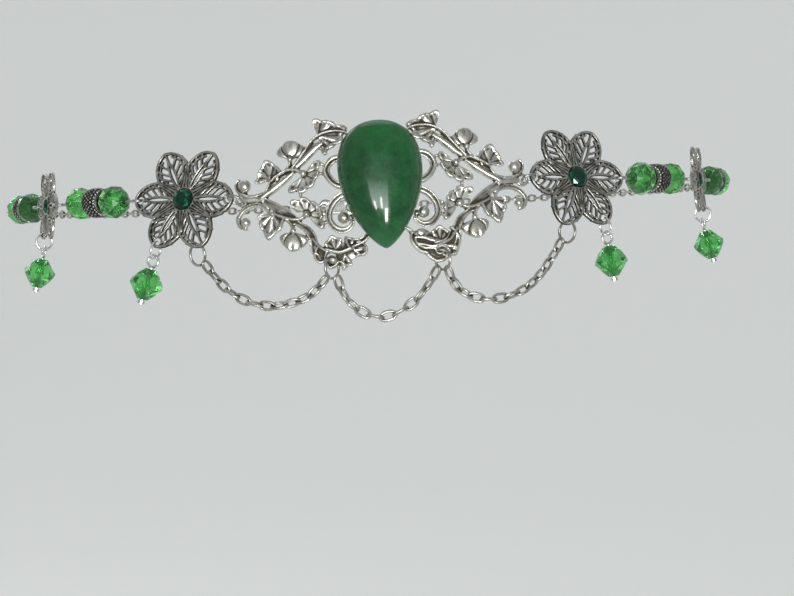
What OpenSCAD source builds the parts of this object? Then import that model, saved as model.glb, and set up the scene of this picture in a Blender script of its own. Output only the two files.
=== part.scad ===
// A flexible circlet worn round the brow: a vine filigree plate with a teardrop stone,
// pierced flowers and beads on eye pins to each side, three chain swags below, four hanging
// drops, and a plain chain with a clasp that closes the loop at the back.

/* [Stone] */
// Width of the teardrop stone
stone_w = 14.5; // [13:0.5:16]
// Length of the teardrop stone
stone_l = 22.5; // [21:0.5:25]
// Height of the stone's dome
stone_h = 5.5; // [4:0.5:7]

/* [Centre plate] */
// Width of the filigree plate from end to end
plate_w = 52.5; // [51:0.5:55]
// Radius of the bend that follows the brow
brow_r = 97; // [90:1:110]
// Degrees that the plate leans back at the top
plate_lean = 8; // [4:1:12]
// Degrees that the plate is turned in its own plane as worn
plate_turn = 1.9; // [0:0.1:3]

/* [Flowers] */
// Diameter of the two front flowers
front_flower_d = 20; // [19:0.5:21]
// Diameter of the two side flowers
side_flower_d = 14.5; // [13.5:0.5:15.5]
// Thickness of the pierced petals
petal_t = 0.5; // [0.4:0.05:0.55]
// Diameter of the small round stone in a front flower
rhinestone_d = 3.8; // [3:0.1:4.2]

/* [Beads] */
// Diameter of the faceted round beads
bead_d = 6; // [5:0.1:6.5]
// Length of a round bead along its thread
bead_l = 5.7; // [5:0.1:6]
// Diameter of the granulated silver bead
silver_d = 5.7; // [5:0.1:6]
// Length of the silver bead along its thread
silver_l = 4; // [3.5:0.1:4.5]
// Diameter of the hanging bicone beads
drop_d = 6; // [5:0.1:6.5]
// Length of the hanging bicone beads
drop_l = 5.6; // [5:0.1:6]

/* [Wire] */
// Thickness of the wire of the jump rings
ring_wire = 0.5; // [0.4:0.05:0.55]
// Thickness of the wire of the pins
pin_wire = 0.6; // [0.5:0.05:0.6]
// Bare wire between a pin's loop and its first bead
bare_neck = 2.8; // [2.2:0.1:3.2]
// Outer diameter of the rings that carry the drops
drop_ring_od = 3.6; // [3.3:0.1:3.8]
// Outer diameter of the rings that carry the swags
swag_ring_od = 4.3; // [4.1:0.1:4.5]

/* [Chains] */
// Width of the links of the three swags
swag_w = 1.6; // [1.4:0.1:1.8]
// Width of the links of the back chain
back_w = 2.2; // [2:0.1:2.4]

/* [Hidden] */

// The sides: a place is worked out for the right side and mirrored to the left
left = -1;
right = 1;

// The plate is charted at this width and scaled to plate_w
chart_w = 57.2;
k = plate_w / chart_w;

// Distance from the middle of the head to the plate in front and to the clasp behind
loop_reach = 93;

// Shared sizes: the gap between pieces, the holes at the petal tips and how far in they lie,
// the plate's end eyelets, the pins' loops, and how far a ring's wire sits inside a loop
gap = 0.1;
eyelet_r = 0.65;
eyelet_in = 1.1;
plate_eyelet_r = 0.95;
plate_eyelet_wire = 0.55;
loop_r = 1.05;
hook = 0.62;
bore_d = pin_wire + 0.4;
silver = [0.62, 0.61, 0.57];
old_silver = [0.45, 0.43, 0.38];
bright = [0.85, 0.85, 0.84];
leaf_green = [0.12, 0.62, 0.25];
jade = [0.05, 0.33, 0.14];
emerald = [0.02, 0.3, 0.16];

// Vectors and frames
function unit(v) = v / norm(v);
function up_frame(u, lean) =
    let (b0 = unit(cross([0, 0, 1], u)), v0 = cross(u, b0),
         v = cos(lean) * v0 + sin(lean) * b0)
    [u, cross(v, u), v];
function hang_frame(d, back) =
    let (v = -d, u = unit(cross(back, v))) [u, cross(v, u), v];
function at(c, f, p) = c + f[0] * p[0] + f[1] * p[1] + f[2] * p[2];
module place(c, f) {
    multmatrix([
        [f[0][0], f[1][0], f[2][0], c[0]],
        [f[0][1], f[1][1], f[2][1], c[1]],
        [f[0][2], f[1][2], f[2][2], c[2]]])
        children();
}
module on(side) {
    if (side == left) mirror([1, 0, 0]) children();
    else children();
}

// The brow: chart x runs along the bend, chart z up it, and h stands proud of it
function bend(p, h) =
    let (a = p[0] / brow_r * 180 / PI)
    [(brow_r + h) * sin(a), brow_r - (brow_r + h) * cos(a), p[1]];
function leaned(p) =
    [p[0], p[1] * cos(plate_lean) + p[2] * sin(plate_lean),
     p[2] * cos(plate_lean) - p[1] * sin(plate_lean)];
function turned(p, a) = [p[0] * cos(a) - p[1] * sin(a), p[0] * sin(a) + p[1] * cos(a)];
function brow(p, h = 0) = leaned(bend(p, h)) + [0, -loop_reach, 0];
function mirrored(p, side) = [side * p[0], p[1], p[2]];

// Joints along the band, given as on the right side: the left ones are mirrored. Heights
// change sign from right to left, because the band is worn a little turned.
// length along the band, heading in plan, height of the far end
link_l = 4 * loop_r + 2 * bare_neck + 2 * bead_l + silver_l + 2 * gap;
plate_end = plate_w / 2 - plate_eyelet_r - plate_eyelet_wire / 2;
band = [
    [2.6, 20, 0.8],
    [front_flower_d - 2 * eyelet_in, 25, 0.3],
    [link_l, 45, 0],
    [side_flower_d - 2 * eyelet_in, 66, 0],
    [link_l, 68, 0]
];
function joint(i, side) =
    i == 0 ? mirrored(brow(turned([side * plate_end, 0], plate_turn)), side)
    : let (from = joint(i - 1, side), row = band[i - 1],
           rise = side * row[2] - from[2], run = sqrt(row[0] * row[0] - rise * rise))
      from + [run * cos(row[1]), run * sin(row[1]), rise];

// Flowers: the joints on each side of a flower, its lean and its diameter
flower_rows = [
    [1, front_flower_d, 16, rhinestone_d],
    [3, side_flower_d, 4, rhinestone_d * 0.75]
];
function flower_centre(i, side) =
    let (j = flower_rows[i][0]) (joint(j, side) + joint(j + 1, side)) / 2;
function flower_frame(i, side) =
    let (j = flower_rows[i][0])
    up_frame(unit(joint(j + 1, side) - joint(j, side)), flower_rows[i][2]);
function hole_in_flower(i, side, angle) =
    let (r = flower_rows[i][1] / 2 - eyelet_in)
    at(flower_centre(i, side), flower_frame(i, side), [r * cos(angle), 0, r * sin(angle)]);

// Smooth curve through chart or space points
function spline_point(a, b, c, d, t) =
    0.5 * (2 * b + (c - a) * t + (2 * a - 5 * b + 4 * c - d) * t * t
           + (3 * b - a - 3 * c + d) * t * t * t);
function smooth(p, steps) =
    let (n = len(p) - 1)
    [for (i = [0 : n - 1], s = [0 : steps - 1])
        spline_point(p[max(i - 1, 0)], p[i], p[i + 1], p[min(i + 2, n)], s / steps),
     p[n]];
function along(list, f) =
    let (n = len(list) - 1, i = min(floor(f * n), n - 1), t = f * n - i)
    list[i] * (1 - t) + list[i + 1] * t;

// A closed solid through rings of points, every ring with the same count
module loft(rings) {
    n = len(rings[0]);
    m = len(rings);
    sides = [for (j = [0 : m - 2], i = [0 : n - 1])
        let (a = j * n + i, b = j * n + (i + 1) % n) each [[a, b, b + n], [a, b + n, a + n]]];
    first = [for (i = [1 : n - 2]) [0, i + 1, i]];
    last = [for (i = [1 : n - 2]) [(m - 1) * n, (m - 1) * n + i, (m - 1) * n + i + 1]];
    polyhedron(points = [for (r = rings) each r], faces = concat(sides, first, last));
}

// Stems of the vine: a smooth run of six-sided sections on the brow
stem_sides = 6;
module stem(route, widths, thick, steps) {
    p = k * smooth(route, steps);
    n = len(p) - 1;
    rings = [for (i = [0 : n])
        let (t = unit(p[min(i + 1, n)] - p[max(i - 1, 0)]), side = [-t[1], t[0]],
             w = k * along(widths, i / n) / 2, h = min(w * 1.1, thick / 2))
        [for (s = [0 : stem_sides - 1])
            let (a = -360 * s / stem_sides)
            bend(p[i] + side * w * cos(a), h * sin(a))]];
    loft(rings);
}

// Leaves, fans and buds: lobes spread round a node, with a ridge along each lobe.
// lobes has a row for each: direction in degrees and reach
leaf_back = -0.3;
module leaf(at_node, lobes, notch, rise) {
    steps = 2;
    gaps = len(lobes) - 1;
    rings = [for (i = [0 : gaps * steps])
        let (g = min(floor(i / steps), gaps - 1), f = i / steps - g,
             a = lobes[g][0] * (1 - f) + lobes[g + 1][0] * f,
             reach = (lobes[g][1] * (1 - f) + lobes[g + 1][1] * f)
                 * (1 - (1 - notch) * sin(180 * f)),
             ridge = rise * (0.45 + 0.55 * abs(cos(180 * f))),
             dir = [cos(a), sin(a)])
        [bend(k * (at_node + dir * 0.25), leaf_back),
         bend(k * (at_node + dir * reach), leaf_back),
         bend(k * (at_node + dir * reach), 0.1),
         bend(k * (at_node + dir * reach * 0.62), ridge),
         bend(k * (at_node + dir * 0.25), 0.3)]];
    loft(rings);
}
knob_lift = 0.15;
module knob(p, r) {
    translate(bend(k * p, knob_lift)) sphere(r = k * r, $fn = r > 1 ? 10 : 8);
}
module bar(a, b, r) {
    hull() {
        translate(bend(k * a, 0)) sphere(r = r, $fn = 6);
        translate(bend(k * b, 0)) sphere(r = r, $fn = 6);
    }
}

// Stems of one half of the plate, in chart units: route, widths along it, thickness
stems = [
    [[[26.2, 0], [24.6, 0.1], [23.2, 0]], [1.4, 1.9, 2.2], 1.3],
    [[[23.6, 0.3], [25.6, 0.5], [27.2, 1.2], [27.9, 2.6], [27.1, 3.9], [26, 3.8]], [0.9, 0.75, 0.7], 1],
    [[[22, -3.6], [22.7, -1.9], [24.7, -1.2], [26.8, -1.8], [28.2, -3.4], [27.9, -5], [26.8, -5.5]],
     [0.7, 0.85, 0.7], 1],
    [[[23.4, 0], [21.3, 1.4], [19, 2.9], [16.9, 4.2]], [1.3, 1.6, 1.5, 0.7], 1.3],
    [[[16.8, 4.7], [14.9, 6.7], [13, 8.4], [11, 9.7]], [0.9, 1.7, 1.7, 1.1], 1.3],
    [[[16.9, 5.1], [14.2, 8], [12.6, 10.2], [10.8, 11.4], [8.9, 11.9], [6.8, 11.7], [5.2, 10.9]],
     [0.8, 0.75, 0.6], 1.2],
    [[[22.6, 0.9], [21.7, 2.3], [21.4, 3.9]], [0.7, 0.7], 1],
    [[[20.3, 3.6], [18.2, 4.7], [16.3, 4.7], [14.9, 3.9]], [0.7, 0.8, 0.7], 1.2],
    [[[18.6, 4.5], [17.4, 5.7], [17.2, 7.1]], [0.8, 0.9], 1.2],
    [[[4.5, 1.6], [7.6, 0.8], [9.6, 1.7], [10.7, 4.2], [9.9, 6.1], [8, 6.9], [5, 6]],
     [1.1, 1.1, 1.1], 1],
    [[[4, -1.2], [7, -0.7], [9.1, -1.6], [10.5, -3.6], [10.6, -5.6], [9.4, -7.2], [7.7, -7.5], [6.2, -6.2],
      [6.9, -4.8]],
     [1.1, 1.15, 0.9], 1],
    [[[23.4, -0.1], [21.1, -1.7], [18.8, -3.2], [16.9, -4.5]], [1.2, 1.9, 1.7, 0.6], 1.3],
    [[[20.6, -3.4], [18.4, -4.4], [16.4, -4.8], [14.9, -4]], [0.7, 0.8, 0.7], 1.2],
    [[[19, -4.4], [18, -5.6], [17.6, -7.1]], [0.8, 0.9], 1.2],
    [[[17.8, -5], [15.4, -6.5], [14, -8.6], [14.2, -10.7], [13.2, -12.7]], [0.6, 1.6, 1.3, 0.7], 1.2],
    [[[14, -8.8], [12.4, -10.8], [9.4, -11.9], [6.4, -11.2]], [0.7, 0.8, 0.6], 1.3]
];
// Leaves, fans and buds of one half: node, lobes, notch depth, rise
leaves = [
    [[21.4, 3.7], [[-12, 3.3], [71, 3.8], [142, 2.5]], 0.62, 0.75],
    [[17.2, 7], [[15, 2.4], [60, 3.3], [105, 3.5], [158, 3.2]], 0.86, 0.85],
    [[14.9, 3.8], [[141, 4.1], [178, 3.7], [222, 3.4], [268, 3.7], [311, 4.2]], 0.9, 0.7],
    [[11.4, 11.2], [[82, 3.4], [136, 4.4], [177, 6.2], [206, 4.8], [246, 3.9]], 0.62, 0.75],
    [[14.9, -4], [[48, 3.9], [84, 3.7], [130, 3.1], [176, 3.3], [225, 4.5]], 0.9, 0.7],
    [[17.6, -7.2], [[205, 2.9], [248, 3.4], [292, 3.4], [338, 2.7]], 0.86, 0.85],
    [[21.6, -3.7], [[205, 2.4], [247, 3.1], [283, 4.8], [345, 3.4]], 0.66, 0.75],
    [[12.9, -10.6], [[107, 2.5], [160, 5.6], [181, 7.8], [222, 5.4], [265, 3.5]], 0.68, 0.75]
];
// Round knobs of one half: place and radius
knobs = [[[26.6, 2.6], 1.3], [[26.7, -4.3], 1.05], [[7.9, -5.2], 1.15],
         [[14.9, 3.9], 0.6], [[14.9, -4], 0.65], [[17.2, 6.9], 0.6], [[17.6, -7], 0.6]];
// Short bars that join the pieces of one half: from, to
bars = [[[10.6, 3.5], [11.6, 3.6]], [[10.4, 5.2], [11.6, 5.6]], [[10.5, -3.4], [12, -3.5]],
        [[10.6, -5.8], [12, -5.8]], [[6.4, -6.9], [6.2, -9.6]], [[15.9, 0.4], [15.8, -0.8]],
        [[22.2, -3.4], [21.7, -3.9]]];
bar_r = 0.32;
// Holes for the swag rings, left and right, in chart units
plate_holes = [[-10.8, -12.4], [10.3, -12.3]];
plate_hole_r = 0.85;

module half_plate() {
    for (s = stems) stem(s[0], s[1], s[2], len(s[0]) > 4 ? 2 : 1);
    for (l = leaves) leaf(l[0], l[1], l[2], l[3]);
    for (b = knobs) knob(b[0], b[1]);
    for (b = bars) bar(b[0], b[1], bar_r);
    translate(bend([plate_end, 0], 0))
        rotate([0, 0, plate_end / brow_r * 180 / PI]) rotate([90, 0, 0])
            rotate_extrude($fn = 16)
                translate([plate_eyelet_r, 0]) circle(d = plate_eyelet_wire, $fn = 8);
}
boss_r = 5;
boss_back = 0.5;
boss_front = 0.6;
module centre_filigree() {
    color(old_silver)
        translate([0, -loop_reach, 0]) rotate([-plate_lean, 0, 0]) rotate([0, -plate_turn, 0])
            difference() {
                union() {
                    half_plate();
                    mirror([1, 0, 0]) half_plate();
                    translate([0, boss_back, 0]) rotate([90, 0, 0])
                        cylinder(r = boss_r, h = boss_back + boss_front, $fn = 24);
                }
                for (h = plate_holes)
                    translate(bend(k * h, 0)) rotate([90, 0, 0])
                        cylinder(r = plate_hole_r, h = 4, center = true, $fn = 12);
            }
}

// The stone: a teardrop outline swept up into a dome
stone_at = [0.2, 0.3];
stone_lift = 0.85;
stone_wide_at = 0.36;
stone_steps = 14;
stone_girdle = 0.9;
function stone_half(t) =
    stone_w / 2 * (t < stone_wide_at
        ? pow(1 - pow((stone_wide_at - t) / stone_wide_at, 2.2), 1 / 2.2)
        : pow(max(cos(90 * (t - stone_wide_at) / (1 - stone_wide_at)), 0), 0.75));
function stone_outline() =
    let (t = [for (i = [0 : stone_steps]) (1 - cos(180 * i / stone_steps)) / 2])
    concat([for (i = [0 : stone_steps]) [stone_half(t[i]), (0.5 - t[i]) * stone_l]],
           [for (i = [stone_steps - 1 : -1 : 1]) [-stone_half(t[i]), (0.5 - t[i]) * stone_l]]);
// height, size of the outline at that height
stone_rings = [[0, 0.96], [0.35, 0.995], [stone_girdle, 1],
    for (q = [0.3, 0.55, 0.75, 0.9, 0.975])
        [stone_girdle + (stone_h - stone_girdle) * q, sqrt(1 - q * q)],
    [stone_h, 0.1]];
module teardrop_stone() {
    c = brow(turned(stone_at, plate_turn), stone_lift);
    centre = [0, (0.5 - stone_wide_at) * stone_l];
    outline = stone_outline();
    color(jade)
        translate(c) rotate([90 - plate_lean, 0, 0])
            loft([for (r = stone_rings)
                [for (i = [len(outline) - 1 : -1 : 0])
                    let (p = centre + (outline[i] - centre) * r[1]) [p[0], p[1], r[0]]]]);
}

// Pierced flower: arched petals cut with slots beside a middle rib
petal_angles = [0, 60, 120, 180, 240, 300];
eyelet_petals = [0, 180, 300];
tip_turn = 7;
// from, to and width, as parts of the flower's radius; the first lies on the rib and the
// others are cut on both sides of it
petal_slots = [
    [[0.31, 0], [0.75, 0], 0.075],
    [[0.3, 0.075], [0.45, 0.19], 0.07],
    [[0.42, 0.09], [0.59, 0.26], 0.08],
    [[0.54, 0.09], [0.72, 0.26], 0.085],
    [[0.68, 0.09], [0.8, 0.2], 0.08]
];
function slot_outline(a, b, w) =
    let (d = b - a, s = unit([-d[1], d[0]]) * w / 2)
    [a, a + d * 0.2 + s * 0.7, a + d * 0.5 + s, a + d * 0.8 + s * 0.7, b,
     a + d * 0.8 - s * 0.7, a + d * 0.5 - s, a + d * 0.2 - s * 0.7];
notch_x = 0.572;
module petal_outline(r) {
    polygon([for (a = petal_angles, t = [-90 : 15 : 75])
        let (w = sign(t) * pow(abs(sin(t)), 1.15))
        r * turned([notch_x + (1 - notch_x) * cos(t), notch_x * tan(30) * w], a)]);
}
module lace(r) {
    difference() {
        petal_outline(r);
        for (a = petal_angles) rotate(a) {
            polygon(r * slot_outline(petal_slots[0][0], petal_slots[0][1], petal_slots[0][2]));
            for (m = [0, 1], i = [1 : len(petal_slots) - 1])
                mirror([0, m])
                    polygon(r * slot_outline(petal_slots[i][0], petal_slots[i][1], petal_slots[i][2]));
            for (m = search(a, eyelet_petals) ? [0] : [-1, 1]) rotate(m * tip_turn)
                translate([r - eyelet_in, 0]) circle(r = eyelet_r, $fn = 20);
        }
    }
}
seat_wall = 0.35;
seat_h = 0.7;
module flower(i) {
    r = flower_rows[i][1] / 2;
    gem = flower_rows[i][3];
    color(old_silver) rotate([90, 0, 0]) {
        translate([0, 0, -petal_t / 2]) linear_extrude(petal_t) lace(r);
        difference() {
            cylinder(d = gem + 2 * seat_wall + 2 * gap, h = petal_t / 2 + seat_h, $fn = 32);
            translate([0, 0, petal_t / 2]) cylinder(d = gem + 2 * gap, h = seat_h + 1, $fn = 32);
        }
    }
}
// Round faceted stone: a pavilion hidden in its seat, then a girdle, crown and table
gem_girdle = 0.5;
gem_crown = 0.55;
module rhinestone(i) {
    d = flower_rows[i][3];
    color(emerald) rotate([90, 0, 0]) translate([0, 0, petal_t / 2 + gap]) {
        cylinder(d = d, h = gem_girdle, $fn = 32);
        translate([0, 0, gem_girdle]) cylinder(d1 = d, d2 = d * 0.58, h = gem_crown, $fn = 32);
    }
}
module flower_at(i, side) {
    on(side) place(flower_centre(i, side), flower_frame(i, side)) flower(i);
}
module rhinestone_at(i, side) {
    on(side) place(flower_centre(i, side), flower_frame(i, side)) rhinestone(i);
}

// Rings and pins, exact round wire
module ring(r, wire) {
    rotate_extrude($fn = 40) translate([r, 0]) circle(d = wire, $fn = 20);
}
side_ring_tilt = -32;
module side_ring(side) {
    p = joint(0, side);
    q = joint(1, side);
    color(silver) on(side)
        place((p + q) / 2, up_frame(unit(q - p), 0)) rotate([side_ring_tilt, 0, 0])
            ring(norm(q - p) / 2, ring_wire);
}
// An eye pin lies along X from its first loop's hole, and its loops lie flat in XY
module eye_pin() {
    color(silver) {
        translate([loop_r, 0, 0]) ring(loop_r, pin_wire);
        translate([link_l - loop_r, 0, 0]) ring(loop_r, pin_wire);
        translate([2 * loop_r, 0, 0]) rotate([0, 90, 0])
            cylinder(d = pin_wire, h = link_l - 4 * loop_r, $fn = 20);
    }
}
module pin_at(i, side) {
    on(side) place(joint(i, side), up_frame(unit(joint(i + 1, side) - joint(i, side)), 0))
        eye_pin();
}

// Beads: a cut bead is rings of corners, each ring turned half a step from the last.
// place along the thread, radius
module cut_bead(rows, sides, l) {
    difference() {
        loft([for (i = [0 : len(rows) - 1])
            [for (s = [0 : sides - 1])
                let (a = -360 * (s + i / 2) / sides)
                [rows[i][1] * cos(a), rows[i][1] * sin(a), rows[i][0]]]]);
        translate([0, 0, -l]) cylinder(d = bore_d, h = 2 * l, $fn = 20);
    }
}
module round_bead() {
    color(leaf_green) cut_bead([
        [-bead_l / 2, 0.2 * bead_d], [-0.36 * bead_l, 0.36 * bead_d], [-0.13 * bead_l, bead_d / 2],
        [0.13 * bead_l, bead_d / 2], [0.36 * bead_l, 0.36 * bead_d], [bead_l / 2, 0.2 * bead_d]],
        8, bead_l);
}
module bicone() {
    color(leaf_green) cut_bead([
        [-drop_l / 2, 0.17 * drop_d], [-0.06 * drop_l, 0.5 * drop_d],
        [0.06 * drop_l, 0.5 * drop_d], [drop_l / 2, 0.17 * drop_d]],
        8, drop_l);
}
silver_end_d = 3.6;
module silver_bead() {
    steps = 8;
    color(silver) difference() {
        rotate_extrude($fn = 40)
            polygon(concat([[0, -silver_l / 2]],
                [for (i = [0 : steps])
                    let (t = -1 + 2 * i / steps)
                    [silver_end_d / 2 + (silver_d - silver_end_d) / 2 * sqrt(1 - pow(t, 4)),
                     t * silver_l / 2]],
                [[0, silver_l / 2]]));
        translate([0, 0, -silver_l]) cylinder(d = bore_d, h = 2 * silver_l, $fn = 20);
    }
}
// place: 0, 1 and 2 are the near round bead, the silver bead and the far round bead
function bead_x(n) =
    2 * loop_r + bare_neck + bead_l / 2 + n * ((bead_l + silver_l) / 2 + gap);
module bead_at(i, side, n) {
    f = up_frame(unit(joint(i + 1, side) - joint(i, side)), 0);
    on(side) place(at(joint(i, side), f, [bead_x(n), 0, 0]), f) rotate([0, 90, 0]) children();
}

// Drops: the ring hangs at one swing from plumb and the pin with its bead at another.
// flower, side, swing of the ring, swing of the drop, both outwards
drop_rows = [[0, left, 14, 19], [0, right, 6, 8], [1, left, 0, 15], [1, right, -4, 14]];
drop_petal = 300;
drop_ring_r = (drop_ring_od - ring_wire) / 2;
drop_neck = 0.4;
function hang(swing) = [sin(swing), 0, -cos(swing)];
function drop_hole(n) = hole_in_flower(drop_rows[n][0], drop_rows[n][1], drop_petal);
function drop_loop(n) =
    drop_hole(n) + 2 * drop_ring_r * hang(drop_rows[n][2])
    + (loop_r - hook) * hang(drop_rows[n][3]);
function drop_back(n) = flower_frame(drop_rows[n][0], drop_rows[n][1])[1];
drop_bead_at = loop_r + drop_neck + drop_l / 2;
module drop_ring(n) {
    d = hang(drop_rows[n][2]);
    color(bright) on(drop_rows[n][1])
        place(drop_hole(n) + drop_ring_r * d, hang_frame(d, drop_back(n)))
            rotate([0, 90, 0]) ring(drop_ring_r, ring_wire);
}
module drop_pin(n) {
    color(bright) on(drop_rows[n][1])
        place(drop_loop(n), hang_frame(hang(drop_rows[n][3]), drop_back(n))) {
            rotate([90, 0, 0]) ring(loop_r, pin_wire);
            translate([0, 0, -drop_bead_at - drop_l / 2 - 2 * gap])
                cylinder(d = pin_wire, h = drop_bead_at + drop_l / 2 + 2 * gap - loop_r, $fn = 20);
            translate([0, 0, -drop_bead_at - drop_l / 2 - 2 * gap - pin_wire])
                cylinder(d = 2.6 * pin_wire, h = pin_wire, $fn = 20);
        }
}
module drop(n) {
    color(leaf_green) on(drop_rows[n][1])
        place(drop_loop(n), hang_frame(hang(drop_rows[n][3]), drop_back(n)))
            translate([0, 0, -drop_bead_at]) bicone();
}

// Swag rings: each hangs from its hole and is turned half way towards the brow
swag_petal = 247;
swag_ring_r = (swag_ring_od - ring_wire) / 2;
swag_ring_turn = 38;
swag_pull = 6;
brow_back = [0, 1, 0];
function swag_hole(side) = hole_in_flower(0, side, swag_petal);
function plate_hole_at(side) =
    mirrored(brow(turned(k * plate_holes[side == left ? 0 : 1], plate_turn)), side);
module hanging_ring(hole, pull, side) {
    d = hang(-pull);
    color(silver) on(side)
        place(hole + swag_ring_r * d, hang_frame(d, brow_back))
            rotate([0, 0, swag_ring_turn]) rotate([0, 90, 0]) ring(swag_ring_r, ring_wire);
}

// Chains: one tube along each route. Swag routes are places on the brow chart, between the
// outsides of their rings
chain_sides = 8;
module chain(route, steps, w) {
    p = smooth(route, steps);
    n = len(p) - 1;
    t = [for (i = [0 : n]) unit(p[min(i + 1, n)] - p[max(i - 1, 0)])];
    color(silver) loft([for (i = [0 : n])
        let (s = unit(cross(t[i], [0.05, 0.1, 1])), o = cross(s, t[i]))
        [for (j = [0 : chain_sides - 1])
            let (a = -360 * j / chain_sides) p[i] + w / 2 * (s * cos(a) + o * sin(a))]]);
}
swag_left_route = [[-30, -14.5], [-27.5, -17], [-24, -19], [-20, -19.8], [-16, -19.3], [-13, -18]];
swag_centre_route = [[-7.5, -19], [-5, -21.5], [-2, -22.9], [1.5, -22.2], [4.5, -20.2], [7, -17.4]];
swag_right_route = [[29.5, -13.5], [26.5, -17], [22.5, -19.5], [18, -20.3], [14.5, -19.7], [11.7, -17.8]];
swag_lift = 0.2;
chain_gap = 0.3;
ring_clear = swag_ring_r + ring_wire / 2 + chain_gap + 0.2 * swag_w;
function on_brow(list) = [for (q = list) brow(q, swag_lift)];
// a point just clear of a hanging ring, at an angle from its bottom towards the middle
function ring_exit(hole, pull, turn, side) =
    mirrored(hole + swag_ring_r * hang(-pull) + ring_clear * hang(-turn), side);
flower_turn = 38;
plate_turn_out = 28;
module side_swag(side) {
    route = side == left ? swag_left_route : swag_right_route;
    chain(concat([ring_exit(swag_hole(side), swag_pull, flower_turn, side)], on_brow(route),
                 [ring_exit(plate_hole_at(side), 0, -plate_turn_out, side)]), 1, swag_w);
}
module swag_centre() {
    chain(concat([ring_exit(plate_hole_at(left), 0, plate_turn_out, left)],
                 on_brow(swag_centre_route),
                 [ring_exit(plate_hole_at(right), 0, plate_turn_out, right)]), 1, swag_w);
}

// The back chain takes the plain way round the head from the last pin to the clasp
back_route = [[78.2, -20], [79.3, -7], [79, 7], [77, 21], [73.5, 34], [68.5, 46], [61.5, 57.5],
              [53, 68], [43, 76.5], [32.5, 83.5], [21.5, 88.8]];
clasp_l = 11;
clasp_w = 5;
clasp_t = 2.2;
clasp_eye_r = 0.9;
clasp_wall = 0.8;
clasp_ring_r = 2.1;
clasp_ring_wire = 0.8;
clasp_x = -6;
clasp_y = loop_reach;
clasp_ring_x = clasp_x + clasp_l / 2 - clasp_wall - clasp_eye_r + clasp_ring_r;
back_heading = 73;
// where the chain's middle line ends, from the edge of the clasp or its ring
chain_end = [0.8, -0.6];
module back_chain(side) {
    start = joint(5, side)
        + (pin_wire / 2 + chain_gap) * [cos(back_heading), sin(back_heading), 0];
    x_end = side == right ? clasp_ring_x + clasp_ring_r + clasp_ring_wire / 2 : clasp_l / 2 - clasp_x;
    route = concat([[start[0], start[1]]], back_route, [[x_end, clasp_y] + chain_end]);
    chain([for (q = route) [side * q[0], q[1], 0]], 2, back_w);
}
// The clasp is one plain closed piece with an eye at each end
module clasp() {
    color(silver) translate([clasp_x, clasp_y, 0]) rotate([90, 0, 0]) difference() {
        translate([0, 0, -clasp_t / 2]) linear_extrude(clasp_t) union() {
            square([clasp_l - clasp_w, clasp_w * 0.8], center = true);
            for (m = [-1, 1]) translate([m * (clasp_l - clasp_w) / 2, 0])
                circle(d = clasp_w, $fn = 32);
        }
        for (m = [-1, 1]) translate([m * (clasp_l / 2 - clasp_eye_r - clasp_wall), 0, -clasp_t])
            cylinder(r = clasp_eye_r, h = 2 * clasp_t, $fn = 24);
    }
}
module clasp_ring() {
    color(silver) translate([clasp_ring_x, clasp_y, 0]) ring(clasp_ring_r, clasp_ring_wire);
}

centre_filigree();
teardrop_stone();
side_ring(left);  // side_ring_left
side_ring(right);  // side_ring_right
flower_at(0, left);  // front_flower_left
flower_at(0, right);  // front_flower_right
flower_at(1, left);  // side_flower_left
flower_at(1, right);  // side_flower_right
rhinestone_at(0, left);  // front_rhinestone_left
rhinestone_at(0, right);  // front_rhinestone_right
rhinestone_at(1, left);  // side_rhinestone_left
rhinestone_at(1, right);  // side_rhinestone_right
pin_at(2, left);  // front_pin_left
pin_at(2, right);  // front_pin_right
pin_at(4, left);  // back_pin_left
pin_at(4, right);  // back_pin_right
bead_at(2, left, 0) round_bead();  // front_bead_a_left
bead_at(2, right, 0) round_bead();  // front_bead_a_right
bead_at(2, left, 2) round_bead();  // front_bead_b_left
bead_at(2, right, 2) round_bead();  // front_bead_b_right
bead_at(4, left, 0) round_bead();  // back_bead_a_left
bead_at(4, right, 0) round_bead();  // back_bead_a_right
bead_at(4, left, 2) round_bead();  // back_bead_b_left
bead_at(4, right, 2) round_bead();  // back_bead_b_right
bead_at(2, left, 1) silver_bead();  // front_silver_bead_left
bead_at(2, right, 1) silver_bead();  // front_silver_bead_right
bead_at(4, left, 1) silver_bead();  // back_silver_bead_left
bead_at(4, right, 1) silver_bead();  // back_silver_bead_right
drop_ring(0);  // front_drop_ring_left
drop_ring(1);  // front_drop_ring_right
drop_ring(2);  // side_drop_ring_left
drop_ring(3);  // side_drop_ring_right
drop_pin(0);  // front_drop_pin_left
drop_pin(1);  // front_drop_pin_right
drop_pin(2);  // side_drop_pin_left
drop_pin(3);  // side_drop_pin_right
drop(0);  // front_drop_left
drop(1);  // front_drop_right
drop(2);  // side_drop_left
drop(3);  // side_drop_right
hanging_ring(swag_hole(left), swag_pull, left);  // swag_ring_left
hanging_ring(swag_hole(right), swag_pull, right);  // swag_ring_right
hanging_ring(plate_hole_at(left), 0, left);  // plate_ring_left
hanging_ring(plate_hole_at(right), 0, right);  // plate_ring_right
side_swag(left);  // swag_left
swag_centre();
side_swag(right);  // swag_right
back_chain(left);  // back_chain_left
back_chain(right);  // back_chain_right
clasp();
clasp_ring();
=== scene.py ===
import math

import bmesh
import bpy
import numpy as np
from mathutils import Matrix, Vector


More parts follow.
